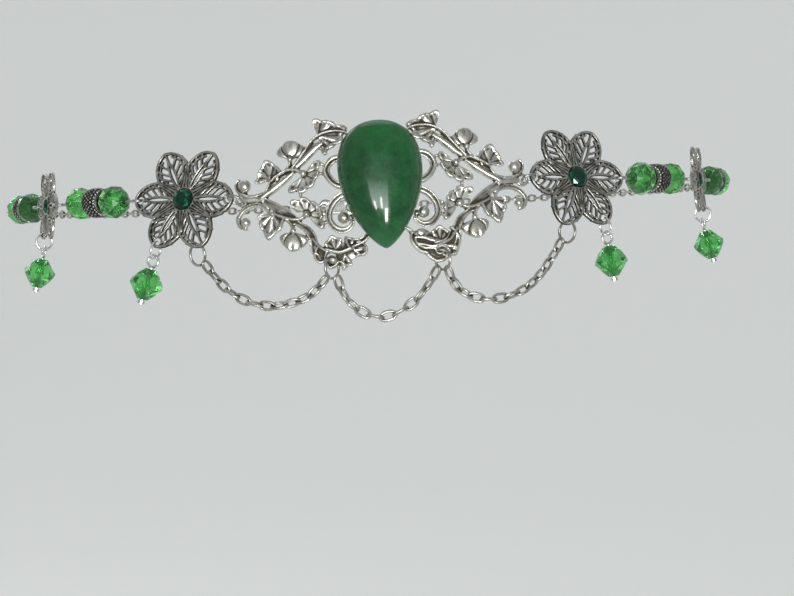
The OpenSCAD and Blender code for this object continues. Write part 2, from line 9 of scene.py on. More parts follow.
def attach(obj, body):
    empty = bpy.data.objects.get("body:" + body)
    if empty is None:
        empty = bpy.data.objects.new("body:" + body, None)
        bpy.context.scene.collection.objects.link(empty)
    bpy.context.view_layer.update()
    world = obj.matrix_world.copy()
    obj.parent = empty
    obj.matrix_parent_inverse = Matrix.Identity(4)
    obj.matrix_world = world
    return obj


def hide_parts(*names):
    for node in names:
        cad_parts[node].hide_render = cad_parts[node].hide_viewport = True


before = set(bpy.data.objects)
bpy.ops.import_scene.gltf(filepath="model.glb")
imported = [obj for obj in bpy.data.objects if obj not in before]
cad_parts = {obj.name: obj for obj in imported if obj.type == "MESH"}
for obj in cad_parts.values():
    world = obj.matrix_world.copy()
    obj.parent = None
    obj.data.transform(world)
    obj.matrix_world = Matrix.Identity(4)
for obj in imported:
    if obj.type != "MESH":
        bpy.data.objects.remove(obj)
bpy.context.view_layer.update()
mm = 0.001
left, right = -1, 1
sideName = {left: "left", 0: "centre", right: "right"}
random = np.random.default_rng(11)
print("frame loaded:", len(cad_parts), "nodes")

# The camera stands just in front of the brow, a little to the wearer's right
view = dict(eye=(-11.51, -373.0, -7.94), yaw=2.679, pitch=-2.338, roll=2.421,
            lens=72.77, sensor=36.0, near=0.01, far=20.0)


def makeCamera(v):
    yaw, pitch, roll = (math.radians(v[a]) for a in ("yaw", "pitch", "roll"))
    ahead = Vector((math.sin(yaw) * math.cos(pitch), math.cos(yaw) * math.cos(pitch),
                    math.sin(pitch)))
    level = Vector((math.cos(yaw), -math.sin(yaw), 0))
    over = level.cross(ahead)
    across = math.cos(roll) * level - math.sin(roll) * over
    upward = math.sin(roll) * level + math.cos(roll) * over
    data = bpy.data.cameras.new("browCamera")
    data.lens, data.sensor_width, data.sensor_fit = v["lens"], v["sensor"], "HORIZONTAL"
    data.clip_start, data.clip_end = v["near"], v["far"]
    camera = bpy.data.objects.new("browCamera", data)
    turn = Matrix((across, upward, -ahead)).transposed()
    camera.matrix_world = Matrix.Translation(Vector(v["eye"]) * mm) @ turn.to_4x4()
    bpy.context.scene.collection.objects.link(camera)
    bpy.context.scene.camera = camera


makeCamera(view)
print("camera set")


# Finishes
class Socket:
    # one output of a node; arithmetic on it adds Math nodes
    def __init__(self, finish, socket):
        self.finish, self.socket = finish, socket

    def maths(self, operation, a, b):
        return self.finish.node("ShaderNodeMath", {"operation": operation}, {0: a, 1: b})

    def __add__(self, other):
        return self.maths("ADD", self, other)

    def __radd__(self, other):
        return self.maths("ADD", other, self)

    def __sub__(self, other):
        return self.maths("SUBTRACT", self, other)

    def __rsub__(self, other):
        return self.maths("SUBTRACT", other, self)

    def __mul__(self, other):
        return self.maths("MULTIPLY", self, other)

    def __rmul__(self, other):
        return self.maths("MULTIPLY", other, self)


class Finish:
    # a material being made, with its Principled shader ready
    shaderInputs = dict(colour="Base Color", metal="Metallic", rough="Roughness", normal="Normal",
                        coat="Coat Weight", coatRough="Coat Roughness", coatIor="Coat IOR",
                        ior="IOR", clear="Transmission Weight", glossy="Specular IOR Level",
                        glow="Emission Color", glowAmount="Emission Strength")

    def __init__(self, name):
        self.material = bpy.data.materials.new(name)
        self.material.use_nodes = True
        self.tree = self.material.node_tree
        self.shader = self.tree.nodes["Principled BSDF"]

    def node(self, kind, settings=None, inputs=None, output=0):
        made = self.tree.nodes.new(kind)
        for key, value in (settings or {}).items():
            if key == "stops":
                ramp = made.color_ramp
                while len(ramp.elements) < len(value):
                    ramp.elements.new(0.5)
                for element, (place, colour) in zip(ramp.elements, value):
                    element.position, element.color = place, (*colour, 1)
            else:
                setattr(made, key, value)
        for key, value in (inputs or {}).items():
            self.feed(made.inputs[key], value)
        return Socket(self, made.outputs[output])

    def feed(self, target, value):
        if isinstance(value, Socket):
            self.tree.links.new(value.socket, target)
        elif isinstance(value, tuple) and len(value) == 3 and target.type == "RGBA":
            target.default_value = (*value, 1)
        else:
            target.default_value = value

    def shade(self, **values):
        for key, value in values.items():
            self.feed(self.shader.inputs[self.shaderInputs[key]], value)
        return self.material

    def place(self):
        return self.node("ShaderNodeTexCoord", output="Object")

    def along(self, axis):
        # the place on one axis, in metres
        return self.node("ShaderNodeSeparateXYZ", None, {0: self.place()}, output=axis)

    def noise(self, size, detail=3.0, rough=0.55, warp=0.0):
        # size is the grain in millimetres
        return self.node("ShaderNodeTexNoise", None,
                         {"Vector": self.place(), "Scale": 1 / (size * mm), "Detail": detail,
                          "Roughness": rough, "Distortion": warp})

    def ramp(self, value, low, high, a=0.0, b=1.0):
        return self.node("ShaderNodeMapRange", {"interpolation_type": "SMOOTHSTEP"},
                         {"Value": value, "From Min": low, "From Max": high,
                          "To Min": a, "To Max": b})

    def mixed(self, amount, a, b):
        return self.node("ShaderNodeMix", {"data_type": "RGBA"},
                         {0: amount, 6: a, 7: b}, output=2)

    def attribute(self, name):
        return self.node("ShaderNodeAttribute", {"attribute_name": name}, output="Fac")

    def bump(self, height, depth):
        return self.node("ShaderNodeBump", None,
                         {"Height": height, "Distance": depth * mm, "Strength": 1.0})


# sizes in millimetres, then how much each noise adds to the patina, tint and roughness
patina = dict(cloud=1.7, grain=0.16, scratch=0.09, cloudShare=0.3, grainShare=0.12,
              warmSpan=(0.35, 0.7), roughSpan=(0.35, 1.1), roughCloud=0.5, roughGain=0.16,
              soiledRough=0.28, dents=0.6)


def oldSilver(name, look):
    # look: bright, warm and dark colours, the recess where the patina starts and is full,
    # roughness, how dull the patina is and the scratches' depth; with a reach the patina
    # follows how near other metal is, else the recess held in the mesh
    f, p = Finish(name), patina
    cloud = f.noise(p["cloud"], 4, 0.6)
    grain = f.noise(p["grain"], 2, 0.5)
    if "reach" in look:
        recess = 1 - f.node("ShaderNodeAmbientOcclusion", {"samples": 8},
                            {"Distance": look["reach"] * mm}, output="AO")
    else:
        recess = f.attribute("recess")
    soiled = f.ramp(recess + cloud * p["cloudShare"] - p["cloudShare"] / 2
                    + grain * p["grainShare"] - p["grainShare"] / 2, look["start"], look["full"])
    tint = f.mixed(f.ramp(cloud, *p["warmSpan"]), look["bright"], look["warm"])
    rough = f.ramp(grain + cloud * p["roughCloud"], *p["roughSpan"], look["rough"],
                   look["rough"] + p["roughGain"])
    scratch = f.noise(p["scratch"], 3, 0.6)
    return f.shade(colour=f.mixed(soiled, tint, look["dark"]), metal=1 - soiled * look["dull"],
                   rough=rough + soiled * p["soiledRough"],
                   normal=f.bump(scratch + cloud * p["dents"], look["depth"]))


plateSilver = oldSilver("antiqueSilver", dict(
    bright=(0.75, 0.74, 0.69), warm=(0.49, 0.47, 0.4), dark=(0.065, 0.057, 0.041),
    start=0.48, full=0.9, rough=0.19, dull=0.55, depth=0.006))
laceSilver = oldSilver("flowerSilver", dict(
    bright=(0.56, 0.55, 0.5), warm=(0.25, 0.24, 0.205), dark=(0.025, 0.022, 0.016),
    start=0.26, full=0.66, rough=0.2, dull=0.6, depth=0.006))
grainSilver = oldSilver("granulatedSilver", dict(
    bright=(0.72, 0.71, 0.67), warm=(0.42, 0.41, 0.37), dark=(0.01, 0.009, 0.007),
    start=0.12, full=0.46, rough=0.16, dull=0.8, depth=0.004))
greySilver = oldSilver("greySilver", dict(
    bright=(0.52, 0.52, 0.50), warm=(0.38, 0.375, 0.345), dark=(0.06, 0.056, 0.048),
    start=0.5, full=0.95, rough=0.18, dull=0.5, depth=0.004, reach=0.5))
brightSilver = oldSilver("brightSilver", dict(
    bright=(0.93, 0.93, 0.92), warm=(0.86, 0.86, 0.84), dark=(0.25, 0.25, 0.24),
    start=0.7, full=1.1, rough=0.1, dull=0.2, depth=0.002, reach=0.4))
chainSilver = oldSilver("chainSilver", dict(
    bright=(0.64, 0.63, 0.58), warm=(0.37, 0.355, 0.31), dark=(0.025, 0.022, 0.016),
    start=0.13, full=0.5, rough=0.2, dull=0.6, depth=0.004, reach=0.5))

# three noises: size in millimetres, detail, roughness and warp, then their shares of the tone;
# the left is painted darker as shade, and the top and the tip are painted lighter as light
# shining through them: axis, span in metres, amount and colour
stoneLook = dict(
    blotch=(2.6, 5, 0.62, 0.8), fleck=(0.75, 4, 0.7, 0.3), vein=(5.5, 3, 0.5, 1.6),
    shares=(0.5, 0.35, 0.35), toneSpan=(0.38, 0.84),
    stops=[(0.0, (0.0022, 0.045, 0.010)), (0.35, (0.004, 0.070, 0.017)),
           (0.7, (0.008, 0.102, 0.026)), (1.0, (0.017, 0.150, 0.042))],
    left=(0, 0.001, -0.006, 0.34, (0.001, 0.03, 0.006)),
    top=(2, 0.004, 0.013, 0.6, (0.016, 0.17, 0.036)),
    tip=(2, -0.005, -0.0125, 0.55, (0.022, 0.18, 0.05)),
    # edge and edgeColour paint the thin rim lighter, as light shining through it
    edge=0.35, edgeColour=(0.02, 0.17, 0.045), roughSpan=(0.16, 0.27), glossy=0.3,
    coat=0.75, topCoat=0.75, edgeCoat=0.45, coatRough=0.045, coatIor=1.55, ior=1.45,
    dents=0.006)


def jade(name):
    f, s = Finish(name), stoneLook
    blotch, fleck, vein = (f.noise(*s[n]) for n in ("blotch", "fleck", "vein"))
    a, b, c = s["shares"]
    tone = f.ramp(blotch * a + fleck * b + vein * c, *s["toneSpan"])
    colour = f.node("ShaderNodeValToRGB", {"stops": s["stops"]}, {"Fac": tone})
    shares = {}
    # painted shade on the left, and painted light shining through at the top and the tip
    for part in ("left", "top", "tip"):
        axis, low, high, amount, tint = s[part]
        shares[part] = f.ramp(f.along(axis), low, high)
        colour = f.mixed(shares[part] * amount, colour, tint)
    # the edge is painted lighter as light shining through the thin rim, and its coat is thinner
    thin = f.attribute("edge")
    coat = (1 - shares["top"] * s["topCoat"]) * (1 - thin * s["edgeCoat"]) * s["coat"]
    return f.shade(colour=f.mixed(thin * s["edge"], colour, s["edgeColour"]),
                   rough=f.ramp(fleck, 0.3, 0.7, *s["roughSpan"]), glossy=s["glossy"], coat=coat,
                   coatRough=s["coatRough"], coatIor=s["coatIor"], ior=s["ior"],
                   normal=f.bump(blotch, s["dents"]))


def cutGlass(name, look):
    # every facet has its own painted light, from dark shade to bright glint, held in the mesh,
    # and a faint cloud lies over it
    f = Finish(name)
    facet, cloud = f.attribute("facet"), f.noise(1.4, 2)
    colour = f.mixed(facet * (1 - look["cloud"]) + cloud * look["cloud"], look["deep"],
                     look["pale"])
    return f.shade(colour=colour, rough=f.ramp(cloud, 0.3, 0.7, 0.0, look["haze"]),
                   clear=look["clear"], ior=look["ior"], metal=look["foil"],
                   coat=look["coat"], coatRough=0.02)


jadeStone = jade("jadeStone")
# deep and pale are the colours of the most shaded and the most glinting facets: painted light
beadGlass = cutGlass("greenGlass", dict(
    deep=(0.035, 0.33, 0.05), pale=(0.19, 0.7, 0.18), cloud=0.15, haze=0.03, clear=0.86,
    ior=1.54, foil=0.0, coat=0.0))
dropGlass = cutGlass("brightGreenGlass", dict(
    deep=(0.05, 0.44, 0.07), pale=(0.25, 0.84, 0.27), cloud=0.15, haze=0.03, clear=0.9,
    ior=1.56, foil=0.0, coat=0.0))
emeraldGlass = cutGlass("emeraldGlass", dict(
    deep=(0.0003, 0.003, 0.002), pale=(0.004, 0.3, 0.15), cloud=0.15, haze=0.03, clear=0.0,
    ior=1.5, foil=0.5, coat=0.35))
print("finishes made")


# Meshes are gathered as points and faces in millimetres and turned into pieces in metres
def unit(v):
    v = np.asarray(v, float)
    return v / np.maximum(np.linalg.norm(v, axis=-1, keepdims=True), 1e-12)


def ring(radius, height, steps, centre=(0, 0)):
    # a level circle, or with a pair of radii an ellipse
    wide, deep = np.broadcast_to(radius, 2)
    turn = 2 * np.pi * np.arange(steps) / steps
    return np.column_stack([centre[0] + wide * np.cos(turn), centre[1] + deep * np.sin(turn),
                            np.full(steps, float(height))])


class Heap:
    def __init__(self):
        self.points, self.faces, self.count = [], [], 0

    def add(self, points, faces, flip=False):
        points = np.asarray(points, float).reshape(-1, 3)
        for face in faces:
            shifted = [int(i) + self.count for i in face]
            self.faces.append(shifted[::-1] if flip else shifted)
        self.points.append(points)
        self.count += len(points)

    def rings(self, rings, closed=False, flip=False):
        # rings of the same count, joined in order; the two ends are capped unless closed
        rings = np.asarray(rings, float)
        m, n = rings.shape[:2]
        faces = []
        for j in range(m if closed else m - 1):
            here, there = j * n, (j + 1) % m * n
            faces += [(here + i, here + (i + 1) % n, there + (i + 1) % n, there + i)
                      for i in range(n)]
        if not closed:
            faces += [tuple(range(n - 1, -1, -1)), tuple((m - 1) * n + i for i in range(n))]
        self.add(rings, faces, flip)

    def lathe(self, rows, steps, centre=(0, 0), closed=False):
        # rows of radius and height
        self.rings([ring(r, h, steps, centre) for r, h in rows], closed)

    def mesh(self, name, scale=mm):
        mesh = bpy.data.meshes.new(name)
        mesh.from_pydata((np.concatenate(self.points) * scale).tolist(), [], self.faces)
        mesh.update()
        return mesh


def makeObject(name, mesh):
    made = bpy.data.objects.new(name, mesh)
    bpy.context.scene.collection.objects.link(made)
    return made


def setSmooth(mesh, smooth=True):
    mesh.polygons.foreach_set("use_smooth", [smooth] * len(mesh.polygons))


def makePiece(name, mesh, finish, node, smooth=True):
    piece = makeObject(name, mesh)
    mesh.materials.clear()
    mesh.materials.append(finish)
    setSmooth(mesh, smooth)
    mesh.update()
    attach(piece, "root")
    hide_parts(node)
    return piece


def tube(heap, path, radius, sides=10, closed=False, flat=1.0, lean=(0, 0, 1)):
    # a round or flattened wire along a path; flat squeezes it along the lean direction
    path = np.asarray(path, float)
    ahead = np.roll(path, -1, 0) - np.roll(path, 1, 0)
    if not closed:
        ahead[0], ahead[-1] = path[1] - path[0], path[-1] - path[-2]
    ahead = unit(ahead)
    side = unit(np.cross(ahead, lean))
    over = np.cross(side, ahead)
    turn = 2 * np.pi * np.arange(sides) / sides
    heap.rings([centre + radius * (np.outer(np.cos(turn), s) + flat * np.outer(np.sin(turn), o))
                for centre, s, o in zip(path, side, over)], closed)


def smoothPath(points, steps):
    # the same smooth curve through its points as the CAD model's
    p = np.asarray(points, float)
    n = len(p) - 1
    out = []
    for i in range(n):
        a, b, c, d = p[max(i - 1, 0)], p[i], p[i + 1], p[min(i + 2, n)]
        for s in range(steps):
            t = s / steps
            out.append(0.5 * (2 * b + (c - a) * t + (2 * a - 5 * b + 4 * c - d) * t * t
                              + (3 * b - a - 3 * c + d) * t ** 3))
    return np.array(out + [p[n]])


def shaped(mesh, modifiers):
    # the mesh with a stack of modifiers applied
    made = makeObject("shaping", mesh)
    for kind, settings in modifiers:
        m = made.modifiers.new(kind, kind)
        for key, value in settings.items():
            setattr(m, key, value)
    graph = bpy.context.evaluated_depsgraph_get()
    graph.update()
    result = bpy.data.meshes.new_from_object(made.evaluated_get(graph))
    bpy.data.objects.remove(made)
    return result


def fused(skin, soften):
    # modifiers that make overlapping solids one skin
    return [("REMESH", dict(mode="VOXEL", voxel_size=skin, use_smooth_shade=True)),
            ("SMOOTH", dict(factor=0.5, iterations=soften))]


def drilled(mesh, drills, before=(), after=()):
    # the mesh with holes, which are cut between two stacks of modifiers
    drill = makeObject("drill", drills.mesh("drill", 1))
    cutter = ("BOOLEAN", dict(operation="DIFFERENCE", object=drill, solver="EXACT"))
    result = shaped(mesh, [*before, cutter, *after])
    bpy.data.objects.remove(drill)
    return result


def corners(mesh):
    co = np.empty(len(mesh.vertices) * 3)
    mesh.vertices.foreach_get("co", co)
    return co.reshape(-1, 3)


def moveCorners(mesh, points):
    mesh.vertices.foreach_set("co", np.asarray(points, float).ravel())
    mesh.update()


def storeTone(mesh, name, values, domain="POINT"):
    found = mesh.attributes.new(name, "FLOAT", domain)
    found.data.foreach_set("value", np.asarray(values, np.float32))


def markRecess(mesh, rounds, depth, wall, shares=(0.6, 0.4)):
    # how far each corner lies below (towards 1) or above (towards 0) its smoothed surroundings;
    # wall makes the upright faces of the flat piece darker
    count = len(mesh.vertices)
    edges = np.empty(len(mesh.edges) * 2, np.int32)
    mesh.edges.foreach_get("vertices", edges)
    a, b = edges.reshape(-1, 2).T
    near = np.maximum(np.bincount(a, minlength=count) + np.bincount(b, minlength=count), 1)
    co = corners(mesh)
    normal = np.empty(count * 3)
    mesh.vertices.foreach_get("normal", normal)
    normal = normal.reshape(-1, 3)
    calm = co.copy()
    value = np.zeros(count)
    done = 0
    for upTo, deep, share in zip(rounds, depth, shares):
        while done < upTo:
            calm = np.stack([(np.bincount(a, calm[b, i], count)
                              + np.bincount(b, calm[a, i], count)) / near for i in range(3)], 1)
            done += 1
        value += share * np.clip(((calm - co) * normal).sum(1) / deep, -1, 1)
    storeTone(mesh, "recess", 0.5 + 0.5 * value + wall * (1 - np.abs(normal[:, 2])))


# Places on the brow, as in the CAD model
brow = dict(plateWidth=52.5, chartWidth=57.2, radius=97.0, lean=8.0, turn=1.9, reach=93.0)
band = dict(eyeletWire=0.55, eyeletRadius=0.95, loopRadius=1.05, bareNeck=2.8, beadLength=5.7,
            silverLength=4.0, gap=0.1, eyeletIn=1.1, hook=0.62, pinWire=0.6)
flowers = [dict(name="front", first=1, size=20.0, lean=16.0, gem=3.8, wall=0.6),
           dict(name="side", first=3, size=14.5, lean=4.0, gem=2.85, wall=0.1)]
chartScale = brow["plateWidth"] / brow["chartWidth"]
plateEnd = brow["plateWidth"] / 2 - band["eyeletRadius"] - band["eyeletWire"] / 2
linkLength = (4 * band["loopRadius"] + 2 * band["bareNeck"] + 2 * band["beadLength"]
              + band["silverLength"] + 2 * band["gap"])
# length, heading and height at its end of each link of the band, from the plate outwards
bandRows = [(2.6, 20, 0.8), (flowers[0]["size"] - 2 * band["eyeletIn"], 25, 0.3),
            (linkLength, 45, 0), (flowers[1]["size"] - 2 * band["eyeletIn"], 66, 0),
            (linkLength, 68, 0)]


def spun(points, degrees, i=0, j=1):
    # points turned in the plane of their axes i and j
    a = math.radians(degrees)
    p = np.asarray(points, float)
    out = p.copy()
    out[..., i] = p[..., i] * math.cos(a) - p[..., j] * math.sin(a)
    out[..., j] = p[..., i] * math.sin(a) + p[..., j] * math.cos(a)
    return out


def bent(flat):
    # flat rows hold chart x, chart z and height, all in millimetres
    a = flat[..., 0] / brow["radius"]
    r = brow["radius"] + flat[..., 2]
    return np.stack([r * np.sin(a), brow["radius"] - r * np.cos(a), flat[..., 1]], -1)


def leaned(p):
    return spun(p, -brow["lean"], 1, 2) - (0, brow["reach"], 0)


def onBrow(chart, height=0.0):
    chart = np.asarray(chart, float)
    lift = np.broadcast_to(height, chart.shape[:-1])[..., None]
    return leaned(bent(np.concatenate([chart, lift], -1)))


def mirrored(p, side):
    return np.asarray(p, float) * (side, 1, 1)


def bandJoint(i, side):
    if i == 0:
        return mirrored(onBrow(spun([side * plateEnd, 0], brow["turn"])), side)
    before = bandJoint(i - 1, side)
    length, heading, height = bandRows[i - 1]
    rise = side * height - before[2]
    run = math.sqrt(length * length - rise * rise)
    a = math.radians(heading)
    return before + (run * math.cos(a), run * math.sin(a), rise)


def axesOf(u, v):
    return np.array([u, np.cross(v, u), v])


def upFrame(u, lean=0.0):
    b = unit(np.cross((0, 0, 1), u))
    a = math.radians(lean)
    return axesOf(u, math.cos(a) * np.cross(u, b) + math.sin(a) * b)


def hangFrame(d, back):
    return axesOf(unit(np.cross(back, -d)), -d)


def flowerPlace(i, side):
    j = flowers[i]["first"]
    a, b = bandJoint(j, side), bandJoint(j + 1, side)
    return (a + b) / 2, upFrame(unit(b - a), flowers[i]["lean"])


def flowerHole(i, side, degrees):
    centre, axes = flowerPlace(i, side)
    r, a = flowers[i]["size"] / 2 - band["eyeletIn"], math.radians(degrees)
    return centre + r * math.cos(a) * axes[0] + r * math.sin(a) * axes[2]


def hang(degrees):
    a = math.radians(degrees)
    return np.array([math.sin(a), 0, -math.cos(a)])


def flatToLocal(p):
    # a piece laid flat (x, up, out) to the frame of a flower (x, in, up)
    return np.stack([p[:, 0], -p[:, 2], p[:, 1]], 1)


def settled(mesh, name, centre, axes, side, flat=True):
    # a copy of a mesh in millimetres, put in its place on one side of the band, in metres
    made = mesh.copy()
    made.name = name
    p = corners(made)
    p = (flatToLocal(p) if flat else p) @ axes + centre
    moveCorners(made, mirrored(p, side) * mm)
    if side == left:
        made.flip_normals()
    return made


# The cast vine plate: parts are laid flat as closed solids, fused into one skin, then bent.
# The right half of the casting stands nearer the stone by shift; caps round a stem's ends, each
# with how far out it lies and its share of the width
plate = dict(skin=0.125, soften=2, keep=0.61, back=-0.42, shift=0.65, shiftSpan=(2, 7),
             caps=[(0.95, 0.3), (0.75, 0.66), (0.4, 0.92)], foot=0.96, capHeight=0.35,
             join=0.3, hole=(0.78, 0.55), holeRim=0.22,
             seat=[(4.7, -0.42), (5, -0.22), (5, 0.3), (4.8, 0.45)],
             ground=[(0.95, -0.42), (1, -0.32), (1, 0.1), (0.94, 0.34), (0.5, 0.42), (0.04, 0.42)],
             recess=dict(rounds=(8, 40), depth=(0.035, 0.16), wall=0.3))
# offset across a stem (-1 to 1) and height, for each kind of stem
stemShapes = {
    "round": [(-1, 0.05), (-0.9, 0.42), (-0.6, 0.8), (0, 1), (0.6, 0.8), (0.9, 0.42), (1, 0.05)],
    "ribbon": [(-1, 0.05), (-0.88, 0.5), (-0.68, 0.66), (-0.5, 0.6), (-0.2, 0.92), (0.25, 1.0),
               (0.65, 0.85), (0.9, 0.4), (1, 0.05)],
    "blade": [(-1, 0.1), (-0.9, 0.68), (-0.7, 0.74), (-0.5, 0.56), (0.1, 0.54), (0.5, 0.64),
              (0.72, 0.95), (0.9, 0.8), (1, 0.05)],
    "scroll": [(-1, 0.1), (-0.82, 0.62), (-0.4, 0.95), (0.0, 0.85), (0.26, 0.4), (0.45, 0.38),
               (0.62, 0.7), (0.84, 0.68), (1, 0.1)]}
# kind, side of the rim, route, widths along it, height; in chart units, right half
stems = [
    ("round", 1, [(26.9, 0), (25, 0), (23.2, 0)], (1.0, 1.6, 1.9), 0.62),
    ("round", 1, [(22.4, 1.0), (24.4, 0.55), (26.4, 0.75), (27.9, 1.8), (28.2, 3.1), (27.5, 4.0)],
     (0.8, 0.7, 0.45), 0.66),
    ("scroll", 1, [(22, -3.6), (22.7, -1.9), (24.7, -1.2), (26.8, -1.8), (28.2, -3.4), (27.9, -5),
                   (26.8, -5.6)], (0.6, 1.0, 0.95, 0.6), 0.58),
    ("ribbon", 1, [(23.4, 0), (21.3, 1.4), (19, 2.9), (16.9, 4.2)], (1.0, 1.75, 1.7, 0.7), 0.85),
    ("ribbon", 1, [(16.8, 4.7), (14.9, 6.5), (13, 8.2), (11, 9.4)], (0.8, 1.8, 1.9, 1.1), 0.85),
    ("round", 1, [(16.9, 5.1), (14.4, 8), (12.8, 10), (11, 11.1), (8.9, 11.5), (6.8, 11.2),
                  (5.2, 10.4)], (0.8, 0.7, 0.6, 0.5), 1.1),
    ("round", 1, [(22.6, 0.9), (21.7, 2.3), (21.4, 3.9)], (0.7, 0.6, 0.5), 0.8),
    ("round", 1, [(21.2, 3.0), (20.3, 3.7), (18.2, 4.75), (16.3, 4.7), (14.9, 3.9)],
     (0.5, 0.75, 0.85, 0.75), 1.05),
    ("round", 1, [(18.6, 4.6), (17.5, 5.7), (17.2, 7.0)], (0.6, 0.7, 0.7), 0.9),
    ("scroll", 1, [(4.5, 1.7), (7.5, 0.9), (9.5, 1.8), (10.6, 3.9), (9.8, 5.6), (8, 6.3), (5, 5.5)],
     (1.4, 1.5, 1.5), 0.62),
    ("scroll", 1, [(4, -1.2), (7, -0.7), (9.1, -1.6), (10.5, -3.6), (10.6, -5.6), (9.4, -7.2),
                   (7.7, -7.5), (6.3, -6.4), (6.5, -5.0)], (1.35, 1.5, 1.4, 0.7), 0.62),
    ("blade", -1, [(23.4, -0.1), (21.1, -1.7), (18.8, -3.2), (16.9, -4.5)], (0.9, 1.8, 1.65, 0.5),
     0.6),
    ("round", 1, [(21.0, -2.9), (20.6, -3.5), (18.4, -4.45), (16.4, -4.8), (14.9, -4)],
     (0.5, 0.75, 0.85, 0.75), 1.0),
    ("round", 1, [(19, -4.4), (18, -5.6), (17.6, -7.1)], (0.6, 0.75, 0.75), 0.9),
    ("blade", -1, [(17.8, -5), (15.4, -6.5), (14, -8.6), (14.2, -10.7), (13.2, -12.7)],
     (0.6, 1.7, 1.4, 0.7), 0.7),
    ("round", 1, [(14, -8.8), (12.4, -10.8), (9.4, -11.9), (6.4, -11.2)], (0.7, 0.75, 0.5), 0.95)]
# kind, node, lobes (degrees, reach), notch depth, height
fans = [
    ("leaf", (21.3, 3.4), [(-5, 3.2), (34, 2.9), (79, 4.1), (140, 2.7), (186, 1.5)], 0.9, 0.8),
    ("bud", (17, 6.9), [(36, 3.3), (90, 3.75), (144, 3.4)], 0.95, 1.05),
    ("blossom", (14.9, 3.8), [(146, 4.1), (188, 3.0), (236, 3.05), (280, 3.85), (313, 4.6)],
     0.82, 0.76),
    ("leaf", (11.5, 10.8), [(80, 3.6), (130, 3.7), (168, 5.8), (199, 5.0), (226, 3.5), (254, 4.0)],
     0.86, 0.8),
    ("blossom", (14.9, -4), [(46, 4.3), (84, 3.55), (134, 3.0), (182, 3.1), (222, 4.4)],
     0.82, 0.76),
    ("bud", (17.7, -7.1), [(222, 3.4), (278, 3.8), (334, 3.0)], 0.95, 1.0),
    ("leaf", (21.5, -3.5), [(196, 2.6), (240, 3.2), (284, 4.9), (328, 3.2), (362, 3.0)], 0.88, 0.8)]
# the leaf clusters low on each side differ
clusterStems = {
    right: [("round", 1, [(2.9, -7.0), (3.6, -7.9), (4.7, -8.9)], (0.8, 0.9, 0.8), 0.8),
            ("round", 1, [(4.6, -9.0), (4.5, -10.3), (5.0, -11.5), (6.0, -12.6), (7.3, -13.1)],
             (0.6, 0.7, 0.65), 0.85),
            ("round", 1, [(12.2, -8.5), (13.2, -9.7), (13.7, -11.2), (13.2, -12.6), (12.7, -13.7)],
             (0.6, 0.75, 0.65), 0.85),
            ("ribbon", -1, [(5.3, -10.0), (6.9, -10.1), (8.4, -10.7), (9.9, -10.9)],
             (0.7, 1.2, 1.2, 0.7), 1.0),
            ("round", 1, [(5.2, -10.4), (5.6, -11.3), (6.7, -12.1), (8.0, -12.3), (9.3, -12.3)],
             (0.6, 0.75, 0.65), 0.95),
            ("round", 1, [(8.8, -11.3), (10.0, -11.1), (11.2, -10.5), (11.8, -9.5)],
             (0.45, 0.5, 0.4), 1.12),
            ("round", 1, [(8.8, -12.5), (9.3, -13.4), (10.2, -13.3), (10.5, -12.6)],
             (0.5, 0.6, 0.5), 0.95),
            ("round", 1, [(10.6, -12.9), (11.6, -13.7), (12.7, -13.5)], (0.5, 0.6, 0.5), 0.92),
            ("round", 1, [(7.1, -13.1), (7.9, -14.0), (9.0, -14.8)], (0.55, 0.7, 0.6), 0.6),
            ("round", 1, [(11.3, -13.9), (10.4, -14.6), (9.0, -14.8)], (0.55, 0.7, 0.6), 0.6)],
    left: [("round", 1, [(-3.0, -7.6), (-4.2, -9.0), (-5.5, -9.6), (-6.5, -9.6)],
            (0.5, 0.55, 0.5), 0.9),
           ("round", 1, [(-2.5, -8.0), (-3.8, -9.6), (-5.2, -10.4), (-6.7, -10.9)],
            (0.5, 0.6, 0.5), 0.85),
           ("round", 1, [(-7.8, -9.5), (-7.5, -10.5), (-6.9, -11.4)], (0.55, 0.65, 0.55), 1.12),
           ("ribbon", 1, [(-11.6, -11.0), (-10.2, -11.6), (-9.2, -11.8), (-8.1, -11.6),
                          (-7.1, -11.2)], (0.7, 1.0, 0.95, 0.7), 1.05),
           ("round", 1, [(-11.6, -11.5), (-12.0, -12.6), (-11.7, -13.9), (-11.2, -14.5),
                         (-10.2, -14.2), (-9.4, -13.5)], (0.55, 0.65, 0.5), 0.95),
           ("round", 1, [(-9.0, -13.6), (-8.3, -14.3), (-8.7, -15.0)], (0.6, 0.75, 0.6), 0.75),
           ("round", 1, [(-13.4, -10.6), (-13.9, -12.2), (-13.2, -13.3), (-12.3, -13.2)],
            (0.6, 0.75, 0.5), 0.75),
           ("round", 1, [(-4.6, -10.5), (-4.0, -11.4), (-4.5, -12.4), (-6.0, -12.6)],
            (0.5, 0.6, 0.5), 0.8)]}
clusterFans = {
    right: [("bud", (6.5, -10.1), [(40, 1.9), (90, 1.7), (140, 1.9)], 0.97, 0.95),
            ("leaf", (9.9, -11.0), [(50, 2.6), (86, 3.2), (124, 2.5)], 0.92, 0.85),
            ("leaf", (10.9, -11.8), [(252, 2.2), (300, 2.6), (346, 2.3)], 0.93, 0.8)],
    left: [("leaf", (-9.9, -11.4), [(64, 2.7), (102, 3.2), (140, 2.7)], 0.9, 0.85),
           ("leaf", (-7.5, -11.3), [(62, 2.4), (100, 2.6)], 0.92, 0.8),
           ("leaf", (-6.6, -11.6), [(-30, 2.4), (4, 2.7)], 0.92, 0.78),
           ("leaf", (-8.3, -12.2), [(256, 2.6), (300, 2.6)], 0.92, 0.78)]}
